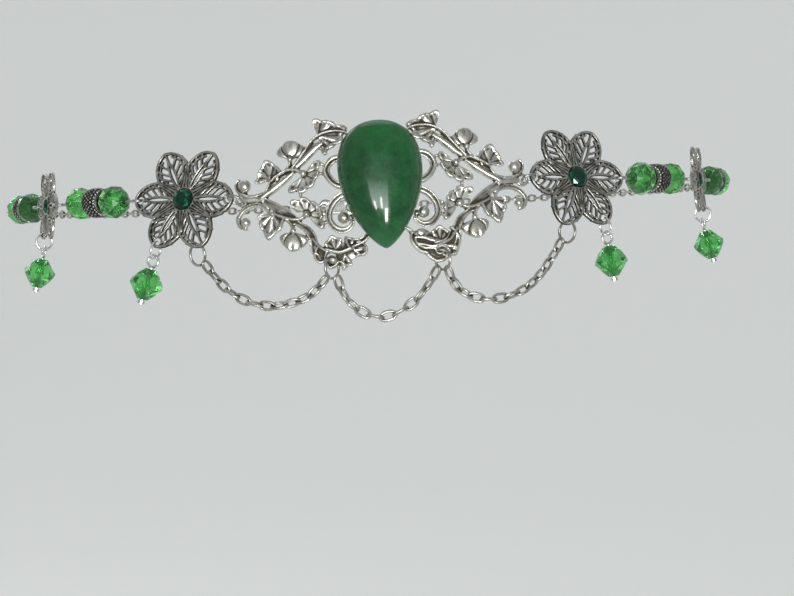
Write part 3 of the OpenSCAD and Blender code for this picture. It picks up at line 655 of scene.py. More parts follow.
# a low ground that holds each cluster together
clusterGround = {
    right: [(4.8, -9.5), (6.2, -8.8), (7.9, -9.4), (9.6, -8.7), (11.2, -8.8), (12.9, -9.9),
            (13.4, -11.2), (13.0, -12.5), (11.9, -13.5), (10.4, -14.3), (9.0, -14.6), (7.9, -13.8),
            (6.9, -13.0), (5.4, -11.9), (4.8, -10.8)],
    left: [(-4.4, -10.9), (-6.4, -10.0), (-8.2, -10.0), (-9.8, -9.4), (-11.8, -10.2),
           (-13.4, -11.2), (-13.6, -12.4), (-12.5, -13.2), (-11.6, -14.1), (-10.9, -14.6),
           (-9.9, -14.4), (-8.9, -14.2), (-7.7, -13.7), (-5.8, -12.9), (-4.6, -12.1)]}
# place, radius, height of the middle
balls = [((26.5, 2.65), 1.3, 0.25), ((26.75, -4.35), 0.95, 0.25), ((7.9, -5.2), 1.2, 0.25),
         ((14.9, 3.9), 0.68, 0.62), ((14.9, -4), 0.72, 0.62), ((17.2, 6.8), 0.58, 0.72),
         ((17.6, -6.9), 0.6, 0.7)]
clusterBall = ((-10.55, -13.05), 0.95, 0.45)
joins = [((10.6, 3.5), (11.6, 3.6)), ((10.4, 5.2), (11.6, 5.6)), ((10.5, -3.4), (12, -3.5)),
         ((10.6, -5.8), (12, -5.8)), ((15.9, 0.4), (15.8, -0.8)), ((22.2, -3.4), (21.7, -3.9)),
         ((26.5, 1.7), (26.4, 0.9))]
plateHoles = [(-10.8, -12.4), (10.3, -12.3)]


def smoothStep(x, a, b):
    t = np.clip((x - a) / (b - a), 0, 1)
    return t * t * (3 - 2 * t)


def layStem(heap, kind, rim, route, widths, height):
    path = smoothPath(np.array(route) * chartScale, 7)
    n = len(path)
    w = np.interp(np.linspace(0, 1, n), np.linspace(0, 1, len(widths)), widths) * chartScale / 2
    ahead = unit(np.gradient(path, axis=0))
    out, taper = np.array(plate["caps"]).T
    first = path[0] - np.outer(out, ahead[0] * w[0])
    last = path[-1] + np.outer(out[::-1], ahead[-1] * w[-1])
    path = np.vstack([first, path, last])
    ahead = np.vstack([[ahead[0]] * len(out), ahead, [ahead[-1]] * len(out)])
    w = np.concatenate([w[0] * taper, w, w[-1] * taper[::-1]])
    low = np.concatenate([taper, np.ones(n), taper[::-1]])
    low = plate["capHeight"] + (1 - plate["capHeight"]) * low
    shape = np.array(stemShapes[kind])
    offset = rim * np.concatenate([shape[:, 0], [plate["foot"], -plate["foot"]]])
    side = np.stack([-ahead[:, 1], ahead[:, 0]], 1)
    rings = []
    for i in range(len(path)):
        h = np.concatenate([shape[:, 1] * height * low[i], [plate["back"]] * 2])
        rings.append(np.column_stack([path[i] + np.outer(offset * w[i], side[i]), h]))
    heap.rings(rings, flip=rim < 0)


def fanHeight(kind, u, q, rise, turned):
    # u runs from a lobe's middle (0) to the notch beside it (1), q from the node to the edge;
    # turned is the angle from the fan's middle
    if kind == "leaf":
        rim = smoothStep(q, 0.7, 0.88)
        vein = np.exp(-(u / 0.2) ** 2) * (1 - q) ** 0.3
        groove = np.exp(-((1 - u) / 0.2) ** 2) * smoothStep(q, 0.12, 0.4) * (1 - 0.3 * rim)
        h = 0.52 + 0.32 * rim + 0.16 * vein - 0.26 * groove + 0.12 * (1 - q)
    elif kind == "blossom":
        crease = np.exp(-((1 - u) / 0.13) ** 2) * smoothStep(q, 0.08, 0.3)
        lip = np.exp(-((q - 0.87) / 0.09) ** 2)
        scoop = (1 - u * u) * smoothStep(q, 0.2, 0.55) * (1 - smoothStep(q, 0.72, 0.88))
        h = 0.46 + 0.3 * q ** 1.3 + 0.24 * lip - 0.06 * scoop - 0.6 * crease * (1 - 0.5 * lip)
    else:
        # a round petal stands in front of the two beside it
        bulge = np.sin(np.pi * np.clip(0.1 + 0.86 * q, 0, 1)) ** 0.55
        out, over = q * math.cos(turned), q * math.sin(turned)
        far = np.hypot((out - 0.6) / 0.5, over / (0.3 + 0.24 * out))
        groove = np.exp(-((far - 1.09) / 0.12) ** 2)
        cleft = np.exp(-(over / 0.08) ** 2) * smoothStep(out, 0.45, 0.85)
        h = np.where(far < 1, 0.62 + 0.3 * np.sqrt(np.clip(1 - far * far, 0, 1)) - 0.16 * cleft,
                     0.12 + 0.8 * bulge * np.sqrt(1 - (0.72 * u) ** 2) - 0.36 * groove)
    return rise * h * (1 - smoothStep(q, 0.93, 1.03) * 0.75)


# degrees that the outer lobes run past their middles, how round their shoulders are, rows from
# the node out to the edge, and the edge's height above the back
lobe = dict(steps=14, spread=dict(leaf=13, blossom=13, bud=24), shoulder=0.55,
            rows=[*np.linspace(0.06, 0.9, 15), 0.94, 0.97, 1.0], edge=0.12, inset=0.985,
            under=0.08)


def layFan(heap, kind, node, lobes, notch, rise):
    steps, spread = lobe["steps"], lobe["spread"][kind]
    angles, reaches, us = [], [], []
    degrees, reach = np.array(lobes, float).T
    last = len(lobes) - 1
    # half a lobe past each end, so that the outer lobes are whole
    bounds = [degrees[0] - spread, *degrees, degrees[-1] + spread]
    for g in range(-1, last + 1):
        a0, a1 = bounds[g + 1], bounds[g + 2]
        r0, r1 = reach[max(g, 0)], reach[min(g + 1, last)]
        for s in range(steps + (g == last)):
            f = s / steps
            if 0 <= g < last:
                u, wave = 1 - abs(1 - 2 * f), math.pi * f
                dip = math.sin(wave) ** 3 if kind == "leaf" else 1 - abs(math.cos(wave)) ** 0.8
                r = (r0 * (1 - f) + r1 * f) * (1 - (1 - notch) * dip)
            else:
                u = 1 - f if g < 0 else f
                r = r0 * (1 - lobe["shoulder"] * (1 - math.sqrt(max(1 - u * u, 0))))
            angles.append(a0 * (1 - f) + a1 * f)
            reaches.append(r)
            us.append(u)
    a, r, u = np.radians(angles), np.array(reaches), np.array(us)
    node, q = np.array(node), np.array(lobe["rows"])
    middle = math.radians((degrees[0] + degrees[-1]) / 2)
    rings = []
    for i in range(len(a)):
        ray = np.array([math.cos(a[i]), math.sin(a[i])])
        front = np.column_stack([(node + np.outer(q * r[i], ray)) * chartScale,
                                 fanHeight(kind, u[i], q, rise, a[i] - middle)])
        front[-1, 2] = min(front[-1, 2], lobe["edge"])
        under = (node + np.outer(q[[-1, 0]] * r[i] * (lobe["inset"], 1), ray)) * chartScale
        ends = np.column_stack([under, [plate["back"] + lobe["under"], plate["back"]]])
        rings.append(np.vstack([front, ends]))
    heap.rings(rings)


def layBall(heap, centre, radius, rows=12):
    tilt = np.pi * (np.arange(rows - 1) + 1) / rows
    heap.lathe([(radius * math.sin(t), centre[2] - radius * math.cos(t)) for t in tilt],
               2 * rows, centre)


def settledChart(x, side):
    # the right half of the casting sits a little nearer the stone than the left half
    x = np.asarray(x, float)
    return -x if side == left else x - plate["shift"] * smoothStep(x, *plate["shiftSpan"])


def layGround(heap, outline):
    outline = smoothPath(outline + outline[:1], 4)[:-1] * chartScale
    middle = outline.mean(0)
    heap.rings([np.column_stack([middle + (outline - middle) * s, np.full(len(outline), h)])
                for s, h in plate["ground"]])


def layPlate():
    heap, drills = Heap(), Heap()

    def layKnob(x, z, radius, lift):
        layBall(heap, (x * chartScale, z * chartScale, lift), radius * chartScale)

    for side in (left, right):
        for kind, rim, route, widths, height in stems:
            route = [(settledChart(x, side), z) for x, z in route]
            layStem(heap, kind, rim * side, route, widths, height)
        for kind, node, lobes, notch, rise in fans:
            turned = lobes if side == right else [(180 - a, r) for a, r in lobes][::-1]
            layFan(heap, kind, (settledChart(node[0], side), node[1]), turned, notch, rise)
        for stem in clusterStems[side]:
            layStem(heap, *stem)
        for fan in clusterFans[side]:
            layFan(heap, *fan)
        layGround(heap, clusterGround[side])
        for (x, z), radius, lift in balls:
            layKnob(settledChart(x, side), z, radius, lift)
        for a, b in joins:
            ends = np.array([(settledChart(x, side), z, 0) for x, z in (a, b)]) * chartScale
            tube(heap, ends - (0, 0, 0.1), plate["join"])
        eye = ring(band["eyeletRadius"], 0, 28, (side * plateEnd, 0))
        tube(heap, eye, band["eyeletWire"] / 2, closed=True)
    (x, z), radius, lift = clusterBall
    layKnob(x, z, radius, lift)
    # a rim and a drill for the hole of each swag's ring
    for x, z in plateHoles:
        hole, centre = np.array(plate["hole"]), (x * chartScale, z * chartScale)
        tube(heap, ring(hole + plate["holeRim"], 0.15, 24, centre), plate["join"], closed=True)
        drills.lathe([(hole, -2), (hole, 2)], 48, centre)
    # the seat that the stone is glued on
    heap.lathe(plate["seat"], 48)
    mesh = drilled(heap.mesh("vinePlate", 1), drills, fused(plate["skin"], plate["soften"]))
    markRecess(mesh, **plate["recess"])
    # the calm stretches give up the corners that they don't need
    mesh = shaped(mesh, [("DECIMATE", dict(ratio=plate["keep"]))])
    # bent to the brow, turned as it hangs and leaned back
    moveCorners(mesh, leaned(spun(bent(corners(mesh)), brow["turn"], 0, 2)) * mm)
    return makePiece("vine_plate", mesh, plateSilver, "centre_filigree")


vinePlate = layPlate()
print("vine plate:", len(vinePlate.data.polygons), "faces")


# The teardrop stone, a smooth dome over the same outline as in the CAD model
stone = dict(width=14.8, length=22.5, height=5.5, at=(-0.36, 0.3), lift=0.85, wideAt=0.36,
             girdle=0.9, around=112, up=26, roll=2.1, topRound=2.2, tipRound=0.68,
             foot=[(0, 0.955), (0.08, 0.975), (0.4, 0.996)], archShare=0.75, archFall=0.8,
             edgeHeight=2.2)


def stoneHalf(t):
    w, power = stone["wideAt"], stone["topRound"]
    top = (1 - np.abs((w - np.minimum(t, w)) / w) ** power) ** (1 / power)
    low = np.maximum(np.cos(np.pi / 2 * (np.maximum(t, w) - w) / (1 - w)), 0)
    return stone["width"] / 2 * np.where(t < w, top, low ** stone["tipRound"])


def makeStone():
    half = stone["around"] // 2
    t = (1 - np.cos(np.pi * np.arange(half + 1) / half)) / 2
    side = np.column_stack([stoneHalf(t), (0.5 - t) * stone["length"]])
    outline = np.vstack([side, side[-2:0:-1] * (-1, 1)])
    middle = np.array([0, (0.5 - stone["wideAt"]) * stone["length"]])
    girdle, height = stone["girdle"], stone["height"]
    q = np.sin(np.pi / 2 * np.arange(stone["up"]) / stone["up"])
    rows = [*stone["foot"], (girdle * 0.8, 1)]
    rows += [(girdle + (height - girdle) * v, math.sqrt(max(1 - v * v, 0))) for v in q]
    rows.append((height, 0.012))
    heap = Heap()
    rings = []
    for h, s in rows:
        flat = middle + (outline - middle) * s
        high = np.full(len(outline), h)
        if h > girdle:
            # an even arch across, lower towards the ends, so that no keel runs to the tip
            wide = np.maximum(stoneHalf(0.5 - flat[:, 1] / stone["length"]), 1e-4)
            arch = np.sqrt(np.clip(1 - (flat[:, 0] / wide) ** 2, 0, 1))
            even = arch * (wide * 2 / stone["width"]) ** stone["archFall"]
            a, dome = stone["archShare"], math.sqrt(max(1 - s * s, 0))
            high = girdle + (height - girdle) * (a * even + (1 - a) * dome)
        rings.append(np.column_stack([flat, high]))
    # how near the girdle each corner lies, for the painted light through the thin edge
    fade = girdle + stone["edgeHeight"]
    edge = np.concatenate([np.full(len(outline), 1 - smoothStep(h, girdle, fade))
                           for h, s in rows])
    heap.rings(rings, flip=True)
    mesh = heap.mesh("teardrop", 1)
    storeTone(mesh, "edge", edge)
    p = spun(spun(corners(mesh), stone["roll"]), 90 - brow["lean"], 1, 2)
    p += onBrow(spun(stone["at"], brow["turn"]), stone["lift"])
    moveCorners(mesh, p * mm)
    return makePiece("teardrop_jade", mesh, jadeStone, "teardrop_stone")


makeStone()
print("stone set")


# Pierced flowers: petal rims, rib and veins are wires fused into one cast piece
lace = dict(wire=0.0255, skin=0.105, soften=1, arch=0.045, slope=0.577, droop=0.05,
            droopFrom=0.55, notch=0.572, hub=0.3, foot=0.03, eye=0.87, eyeWire=0.42,
            petals=(0, 60, 120, 180, 240, 300), withEye=(0, 180, 300), rimRound=1.15,
            seam=[(0.2, 0.075), (0.33, 0.165), (0.46, 0.245)],
            rounds=(8, 40), depth=(0.04, 0.17), beads=18, bead=0.2)
# wires beside a petal's middle, from the hub (0) to the tip (1): route, thickness, lift
petalWires = [
    (((0.22, 0.014), (0.36, 0.04), (0.52, 0.05), (0.68, 0.032), (0.78, 0.006)), 0.85, 0.006),
    (((0.25, 0.045), (0.33, 0.115), (0.40, 0.19)), 0.8, -0.002),
    (((0.33, 0.058), (0.42, 0.17), (0.52, 0.268)), 0.8, -0.002),
    (((0.43, 0.064), (0.545, 0.2), (0.67, 0.316)), 0.8, -0.002),
    (((0.54, 0.06), (0.66, 0.185), (0.80, 0.282)), 0.8, -0.002),
    (((0.665, 0.045), (0.775, 0.13), (0.9, 0.195)), 0.8, -0.002),
    (((0.44, 0.165), (0.56, 0.222), (0.69, 0.222), (0.80, 0.16), (0.875, 0.09)), 0.7, -0.006)]


def petalLine(side):
    # from the hub out along the seam, then round the rim to the tip
    a = np.radians(np.linspace(90, 0, 13))
    x = lace["notch"] + (1 - lace["notch"]) * np.cos(a)
    y = lace["notch"] * math.tan(math.radians(30)) * np.sin(a) ** lace["rimRound"]
    rim = np.column_stack([x, y]) * (1 - lace["wire"]) - (0, 0.01)
    rim[-1, 1] = 0
    return np.vstack([lace["seam"], rim]) * (1, side)


def layFlower(flower):
    r = flower["size"] / 2
    wire = lace["wire"] * r
    heap = Heap()

    def run(line, thick, degrees, lift=0.0, steps=4):
        line = smoothPath(np.array(line), steps)
        # petals are arched across and droop a little at the tip
        y = line[:, 1] / (line[:, 0] * lace["slope"] + 0.02)
        droop = lace["droop"] * np.maximum(line[:, 0] - lace["droopFrom"], 0) ** 1.5
        h = lace["arch"] * (1 - y * y) - droop + lift
        flat = spun(line, degrees)
        tube(heap, np.column_stack([flat, h]) * r, thick, sides=8)
        # a broader foot under each wire
        foot = np.column_stack([flat, h - lace["foot"]])
        tube(heap, foot * r, thick * 1.22, sides=8, flat=0.7)

    hole = (r - band["eyeletIn"]) / r
    for degrees in lace["petals"]:
        for side in (1, -1):
            run(petalLine(side), wire * 1.05, degrees, 0.004)
            for line, thick, lift in petalWires:
                run([(x, y * side) for x, y in line], wire * thick, degrees, lift)
        if degrees in lace["withEye"]:
            run([(0.77, 0), (hole - 0.09, 0)], wire, degrees, steps=2)
            eye = ring(lace["eye"] / r, 0, 20, (hole, 0))
            tube(heap, spun(eye, degrees) * r, lace["eyeWire"] / 2, closed=True)
        else:
            run([(0.77, 0), (0.9, 0), (0.985, 0)], wire * 0.85, degrees, steps=2)
    gem, hub = flower["gem"] / 2, lace["hub"] * r
    heap.lathe([(hub, -0.22), (hub, 0.0), (hub - 0.2, 0.1)], 36)
    inner, outer = gem + 0.06, gem + 0.32
    heap.lathe([(outer + 0.05, -0.2), (outer, 0.3), (outer - 0.03, 0.52), (inner + 0.08, 0.62),
                (inner, 0.55), (inner, 0.2), (inner + 0.03, -0.2)], 36, closed=True)
    # beading round the setting
    for x, y, z in spun(ring(outer + 0.22, 0.26, lace["beads"]), 180 / lace["beads"]):
        layBall(heap, (x, y, z), lace["bead"], 5)
    mesh = shaped(heap.mesh("lace", 1), fused(lace["skin"], lace["soften"]))
    markRecess(mesh, lace["rounds"], lace["depth"], flower["wall"])
    return mesh


for i, flower in enumerate(flowers):
    flowerMesh = layFlower(flower)
    for side in (left, right):
        kind, ending = flower["name"], sideName[side]
        name = f"{kind}_lace_{ending}"
        makePiece(name, settled(flowerMesh, name, *flowerPlace(i, side), side), laceSilver,
                  f"{kind}_flower_{ending}")
print("flowers placed")


# Cut glass: facets come from the hull of rings of corners, and each gets its own painted
# light, from dark shade to bright glint
def hullMesh(points, bore=0.0):
    shape = bmesh.new()
    for p in points:
        shape.verts.new(p)
    found = bmesh.ops.convex_hull(shape, input=shape.verts)
    loose = [e for e in found["geom_interior"] if isinstance(e, bmesh.types.BMVert)]
    bmesh.ops.delete(shape, geom=loose, context="VERTS")
    bmesh.ops.dissolve_limit(shape, angle_limit=0.01, verts=shape.verts, edges=shape.edges)
    bmesh.ops.recalc_face_normals(shape, faces=shape.faces)
    mesh = bpy.data.meshes.new("facets")
    shape.to_mesh(mesh)
    shape.free()
    if bore:
        drills = Heap()
        drills.lathe([(bore, -9), (bore, 9)], 24)
        mesh = drilled(mesh, drills)
    return mesh


def paintFacetLight(mesh, contrast=1.0, middle=0.6, reach=0.6):
    # the facets round the thread, or a stone's table, take the middle painted light
    tone = random.random(len(mesh.polygons)) ** contrast
    for face in mesh.polygons:
        if math.hypot(face.center.x, face.center.y) < reach:
            tone[face.index] = middle
    storeTone(mesh, "facet", tone, "FACE")
    return mesh


def cutRings(rows, sides):
    # place along the thread, radius; each ring is turned half a step from the last
    points = []
    for i, (z, r) in enumerate(rows):
        a = 2 * np.pi * (np.arange(sides) + i / 2) / sides
        points += [(r * math.cos(t), r * math.sin(t), z) for t in a]
    return points


roundBead = dict(d=6.0, l=5.7, sides=9, bore=0.5, rows=[(-0.5, 0.2), (-0.36, 0.36), (-0.13, 0.5),
                                                        (0.13, 0.5), (0.36, 0.36), (0.5, 0.2)])
bicone = dict(d=6.0, l=5.6, sides=8, bore=0.5, rows=[(-0.5, 0.17), (-0.28, 0.348), (-0.06, 0.5),
                                                     (0.06, 0.5), (0.28, 0.348), (0.5, 0.17)])
# for a stone of that size: height, share of the radius, corners, part of a step turned
emerald = dict(size=3.8, start=0.35, rows=[(0, 0.93, 16, 0), (0.12, 1, 16, 0), (0.45, 1, 16, 0),
                                           (0.8, 0.83, 8, 0.5), (1.05, 0.56, 8, 0)])


def makeCutBead(b):
    rows = [(z * b["l"], r * b["d"]) for z, r in b["rows"]]
    return hullMesh(cutRings(rows, b["sides"]), b["bore"])


def makeEmerald(d):
    points = []
    for height, share, sides, shift in emerald["rows"]:
        r, z = share * (d / 2), height * d / emerald["size"] + emerald["start"]
        a = 2 * np.pi * (np.arange(sides) + shift) / sides
        points += [(r * math.cos(t), r * math.sin(t), z) for t in a]
    return hullMesh(points)


for i, flower in enumerate(flowers):
    gemMesh = makeEmerald(flower["gem"])
    for side in (left, right):
        kind, ending = flower["name"], sideName[side]
        name = f"{kind}_emerald_{ending}"
        gem = settled(paintFacetLight(gemMesh.copy(), 3.2, 0.08), name, *flowerPlace(i, side), side)
        makePiece(name, gem, emeraldGlass, f"{kind}_rhinestone_{ending}",
                  smooth=False)

# Beads on the pins; the thread runs along the frame's first axis
beadStep = (band["beadLength"] + band["silverLength"]) / 2 + band["gap"]
beadStart = 2 * band["loopRadius"] + band["bareNeck"] + band["beadLength"] / 2
grains = dict(radius=2.85, end=1.8, grain=0.3, rows=8, around=25, reach=0.83, stray=0.07,
              ground=0.24)


def makeSilverBead():
    g = grains
    half = band["silverLength"] / 2
    heap = Heap()

    def outline(t):
        return g["end"] + (g["radius"] - g["end"]) * math.sqrt(max(1 - abs(t) ** 4, 0))

    rows = [(band["pinWire"] / 2 + 0.2, -half), (g["end"] - 0.2, -half)]
    rows += [(outline(t * 0.93) - g["ground"], t * (half - 0.06)) for t in np.linspace(-1, 1, 15)]
    rows += [(g["end"] - 0.2, half), (band["pinWire"] / 2 + 0.2, half)]
    heap.lathe(rows, 48, closed=True)
    dice = np.random.default_rng(8)
    for k, t in enumerate(np.linspace(-g["reach"], g["reach"], g["rows"])):
        r = outline(t) - g["grain"]
        for a in 2 * np.pi * (np.arange(g["around"]) + 0.5 * (k % 2)) / g["around"]:
            a += dice.uniform(-1, 1) * g["stray"] / r
            z = t * half + dice.uniform(-1, 1) * g["stray"]
            size = g["grain"] * dice.uniform(0.84, 1)
            layBall(heap, (r * math.cos(a), r * math.sin(a), z), size, 5)
    for z in (-1, 1):
        tube(heap, ring(g["end"] + 0.02, z * half * 0.9, 48), 0.2, sides=8, closed=True)
    mesh = heap.mesh("grainBead", 1)
    # the ground between the grains is dark
    p = corners(mesh)
    ground = np.array([outline(min(abs(z) / half, 1)) - g["ground"] for z in p[:, 2]])
    above = (np.hypot(p[:, 0], p[:, 1]) - ground) / g["ground"]
    storeTone(mesh, "recess", 1 - np.clip(above, 0, 1))
    return mesh


def chanceSpin():
    # a bead's own z is its thread, and each is turned by chance on it
    return np.array(Matrix.Rotation(random.uniform(0, 2 * math.pi), 3, "Z"))


beadMesh, silverMesh = makeCutBead(roundBead), makeSilverBead()
alongThread = np.array([(0, 1, 0), (0, 0, 1), (1, 0, 0)], float)
links = [(2, "front", beadGlass, "green_glass"), (4, "back", dropGlass, "bright_green_glass")]
for link, name, glass, slot in links:
    for side in (left, right):
        a = bandJoint(link, side)
        axes = upFrame(unit(bandJoint(link + 1, side) - a))
        for n, kind in enumerate(("bead_a", "silver_bead", "bead_b")):
            centre = a + (beadStart + n * beadStep) * axes[0]
            own = chanceSpin() @ alongThread @ axes
            node = f"{name}_{kind}_{sideName[side]}"
            if kind == "silver_bead":
                mesh = settled(silverMesh, node, centre, own, side, flat=False)
                makePiece(f"grain_{node}", mesh, grainSilver, node)
            else:
                mesh = settled(paintFacetLight(beadMesh.copy()), node, centre, own, side, flat=False)
                makePiece(f"cut_{node}", mesh, glass, node, smooth=False)
print("beads threaded")

# Hanging drops: flower, side, swing of the ring, swing of the drop
drops = [(0, left, 14, 19), (0, right, 6, 8), (1, left, 0, 15), (1, right, -4, 14)]
dropWire = dict(petal=300, ringRadius=1.55, neck=0.4)
dropMesh = makeCutBead(bicone)
for i, side, ringSwing, dropSwing in drops:
    d = dropWire
    loop = (flowerHole(i, side, d["petal"]) + 2 * d["ringRadius"] * hang(ringSwing)
            + (band["loopRadius"] - band["hook"]) * hang(dropSwing))
    axes = hangFrame(hang(dropSwing), flowerPlace(i, side)[1][1])
    centre = loop - (band["loopRadius"] + d["neck"] + bicone["l"] / 2) * axes[2]
    own = chanceSpin() @ axes
    node = f"{flowers[i]['name']}_drop_{sideName[side]}"
    mesh = settled(paintFacetLight(dropMesh.copy()), node, centre, own, side, flat=False)
    makePiece(f"cut_{node}", mesh, dropGlass, node, smooth=False)
print("drops hung")


# Chains: real links along the CAD routes, each turned a quarter from the last. The swag
# routes are places on the brow chart, the back routes are plan places, in millimetres
swagRoutes = {
    left: [(-30, -14.5), (-27.5, -17), (-24, -19), (-20, -19.8), (-16, -19.3), (-13, -18)],
    0: [(-7.5, -19), (-5, -21.45), (-2, -22.8), (1.5, -22.1), (4.5, -20.2), (7, -17.4)],
    right: [(29.5, -13.5), (26.5, -17), (22.5, -19.5), (18, -20.3), (14.5, -19.7), (11.7, -17.8)]}
backRoute = [(78.2, -20), (79.2, -7), (78.95, 7), (77, 21), (73.5, 34), (68.5, 46), (61.5, 57.5),
             (53, 68), (43, 76.5), (32.5, 83.5), (21.5, 88.8)]
swagChain = dict(length=3.4, width=2.05, wire=0.27, lift=0.2)
backChain = dict(length=3.3, width=2.2, wire=0.29, heading=73, inLoop=0.95)
linkShape = dict(steps=22, square=0.8, slack=0.04, reach=0.45)
hangRing = dict(petal=247, radius=1.9, turn=38, pull=6, flowerExit=38, plateExit=28, inside=1.28)


def layLink(heap, chain, centre, ahead, across):
    turn = np.linspace(0, 2 * np.pi, linkShape["steps"], endpoint=False)
    a, c = chain["wire"], np.cos(turn)
    x = np.sign(c) * np.abs(c) ** linkShape["square"] * (chain["length"] / 2 - a)
    y = np.sin(turn) * (chain["width"] / 2 - a)
    line = centre + np.outer(x, ahead) + np.outer(y, across)
    tube(heap, line, a, sides=8, closed=True, lean=np.cross(ahead, across))


def layChain(heap, chain, path, firstAxis, lastAxis):
    # firstAxis and lastAxis are the axes of the rings that the end links pass through
    path = smoothPath(path, 10)
    far = np.concatenate([[0], np.cumsum(np.linalg.norm(np.diff(path, axis=0), axis=1))])
    pitch = chain["length"] - 4 * chain["wire"] - linkShape["slack"]
    reach = chain["length"] * linkShape["reach"]
    count = round((far[-1] - chain["length"]) / pitch) + 1
    pitch = (far[-1] - chain["length"]) / (count - 1)

    def spot(s):
        return np.array([np.interp(s, far, path[:, k]) for k in range(3)])

    for i in range(count):
        s = chain["length"] / 2 + i * pitch
        a, b = spot(s - reach), spot(s + reach)
        ahead = unit(b - a)
        f = i / (count - 1)
        first = unit(firstAxis - ahead * (firstAxis @ ahead))
        last = unit(lastAxis - ahead * (lastAxis @ ahead))
        if (count - 1) % 2:
            last = np.cross(ahead, last)
        if first @ last < 0:
            last = -last
        across = unit(first * (1 - f) + last * f)
        across = unit(across - ahead * (across @ ahead))
        if i % 2:
            across = np.cross(ahead, across)
        layLink(heap, chain, (a + b) / 2, ahead, across)
    return count


def ringPlace(hole, pull, side):
    # centre and axis of a hanging ring
    d = hang(-pull)
    axes = hangFrame(d, (0, 1, 0))
    a = math.radians(hangRing["turn"])
    axis = math.cos(a) * axes[0] + math.sin(a) * axes[1]
    return mirrored(hole + hangRing["radius"] * d, side), mirrored(axis, side)


def plateHole(side):
    flat = spun(np.array(plateHoles[0 if side == left else 1]) * chartScale, brow["turn"])
    return mirrored(onBrow(flat), side)


def inRing(hole, pull, turn, side):
    centre, axis = ringPlace(hole, pull, side)
    return centre + mirrored(hangRing["inside"] * hang(-turn), side), axis


def linkPiece(name, node, chain, path, firstAxis, lastAxis):
    heap = Heap()
    count = layChain(heap, chain, path, firstAxis, lastAxis)
    makePiece(name, heap.mesh("links"), chainSilver, node)
    return count


linkCount = 0
for side in (left, 0, right):
    if side == 0:
        start = inRing(plateHole(left), 0, hangRing["plateExit"], left)
        end = inRing(plateHole(right), 0, hangRing["plateExit"], right)
    else:
        start = inRing(flowerHole(0, side, hangRing["petal"]), hangRing["pull"],
                       hangRing["flowerExit"], side)
        end = inRing(plateHole(side), 0, -hangRing["plateExit"], side)
    path = np.vstack([[start[0]], onBrow(swagRoutes[side], swagChain["lift"]), [end[0]]])
    name = sideName[side]
    linkCount += linkPiece(f"swag_links_{name}", f"swag_{name}", swagChain, path, start[1], end[1])

up, back = np.array([0.0, 0, 1]), np.array([0.0, 1, 0])
claspEnds = {left: ((-9.3, 92.9), back), right: ((1.0, 93.0), up)}
for side in (left, right):
    pin = mirrored(bandJoint(5, side), side)
    a = math.radians(backChain["heading"])
    start = pin - np.array([side * math.cos(a), math.sin(a), 0]) * backChain["inLoop"]
    plan = [(side * x, y, 0) for x, y in backRoute]
    end, axis = claspEnds[side]
    path = np.vstack([[start], plan, [(*end, 0)]])
    path[0, 2] = 0
    name = f"back_chain_{sideName[side]}"
    linkCount += linkPiece(f"{name}_links", name, backChain, path, up, axis)
print("chains linked:", linkCount, "links")

# The closed clasp, one plain piece with rounded edges and an eye at each end
clasp = dict(length=11.0, width=5.0, waist=4.0, thick=2.2, eye=0.9, wall=0.8, at=(-6.0, 93.0),
             round=0.45, waistAt=(0.55, 0, -0.55))


def makeClasp():
    c = clasp
    reach = (c["length"] - c["width"]) / 2
    a = np.linspace(-np.pi / 2, np.pi / 2, 25)
    cap = np.column_stack([reach + c["width"] / 2 * np.cos(a), c["width"] / 2 * np.sin(a)])
    waist = np.array([(reach * s, c["waist"] / 2) for s in c["waistAt"]])
    line = np.vstack([cap, waist, -cap, -waist])
    heap = Heap()
    heap.rings([np.column_stack([line, np.full(len(line), m * c["thick"] / 2)]) for m in (-1, 1)])
    drills = Heap()
    for m in (-1, 1):
        x = m * (c["length"] / 2 - c["eye"] - c["wall"])
        drills.lathe([(c["eye"], -4), (c["eye"], 4)], 36, (x, 0))
    bevel = dict(width=c["round"], segments=4, limit_method="ANGLE", angle_limit=0.9)
    mesh = drilled(heap.mesh("clasp", 1), drills, after=[("BEVEL", bevel)])
    p = corners(mesh)
    moveCorners(mesh, (flatToLocal(p) + (*c["at"], 0)) * mm)
    return makePiece("closed_clasp", mesh, greySilver, "clasp")


makeClasp()
print("clasp closed")

# Rings and pins keep their exact CAD wire
kept = {name: node for name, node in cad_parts.items() if not node.hide_render}
for name, node in kept.items():
    for place in node.material_slots:
        place.material = brightSilver if "_drop_" in name else greySilver
    setSmooth(node.data)
print("CAD wires kept:", len(kept))


# Pale backdrop all round, with a level floor that turns up into a wall
# near paints the paper's near side darker as shade; glow, glowNear and glowFar paint light on it,
# brightest on the far side
studio = dict(floor=-0.3, flat=1.15, wall=1.65, top=1.5, sides=96, colour=(0.78, 0.79, 0.78),
              near=0.7, glow=0.18, glowNear=(0.25, 0.25, 0.25), glowFar=(0.97, 1.0, 0.98),
              farSpan=(-0.6, 0.5), air=(0.93, 0.96, 1), airStrength=0.42)


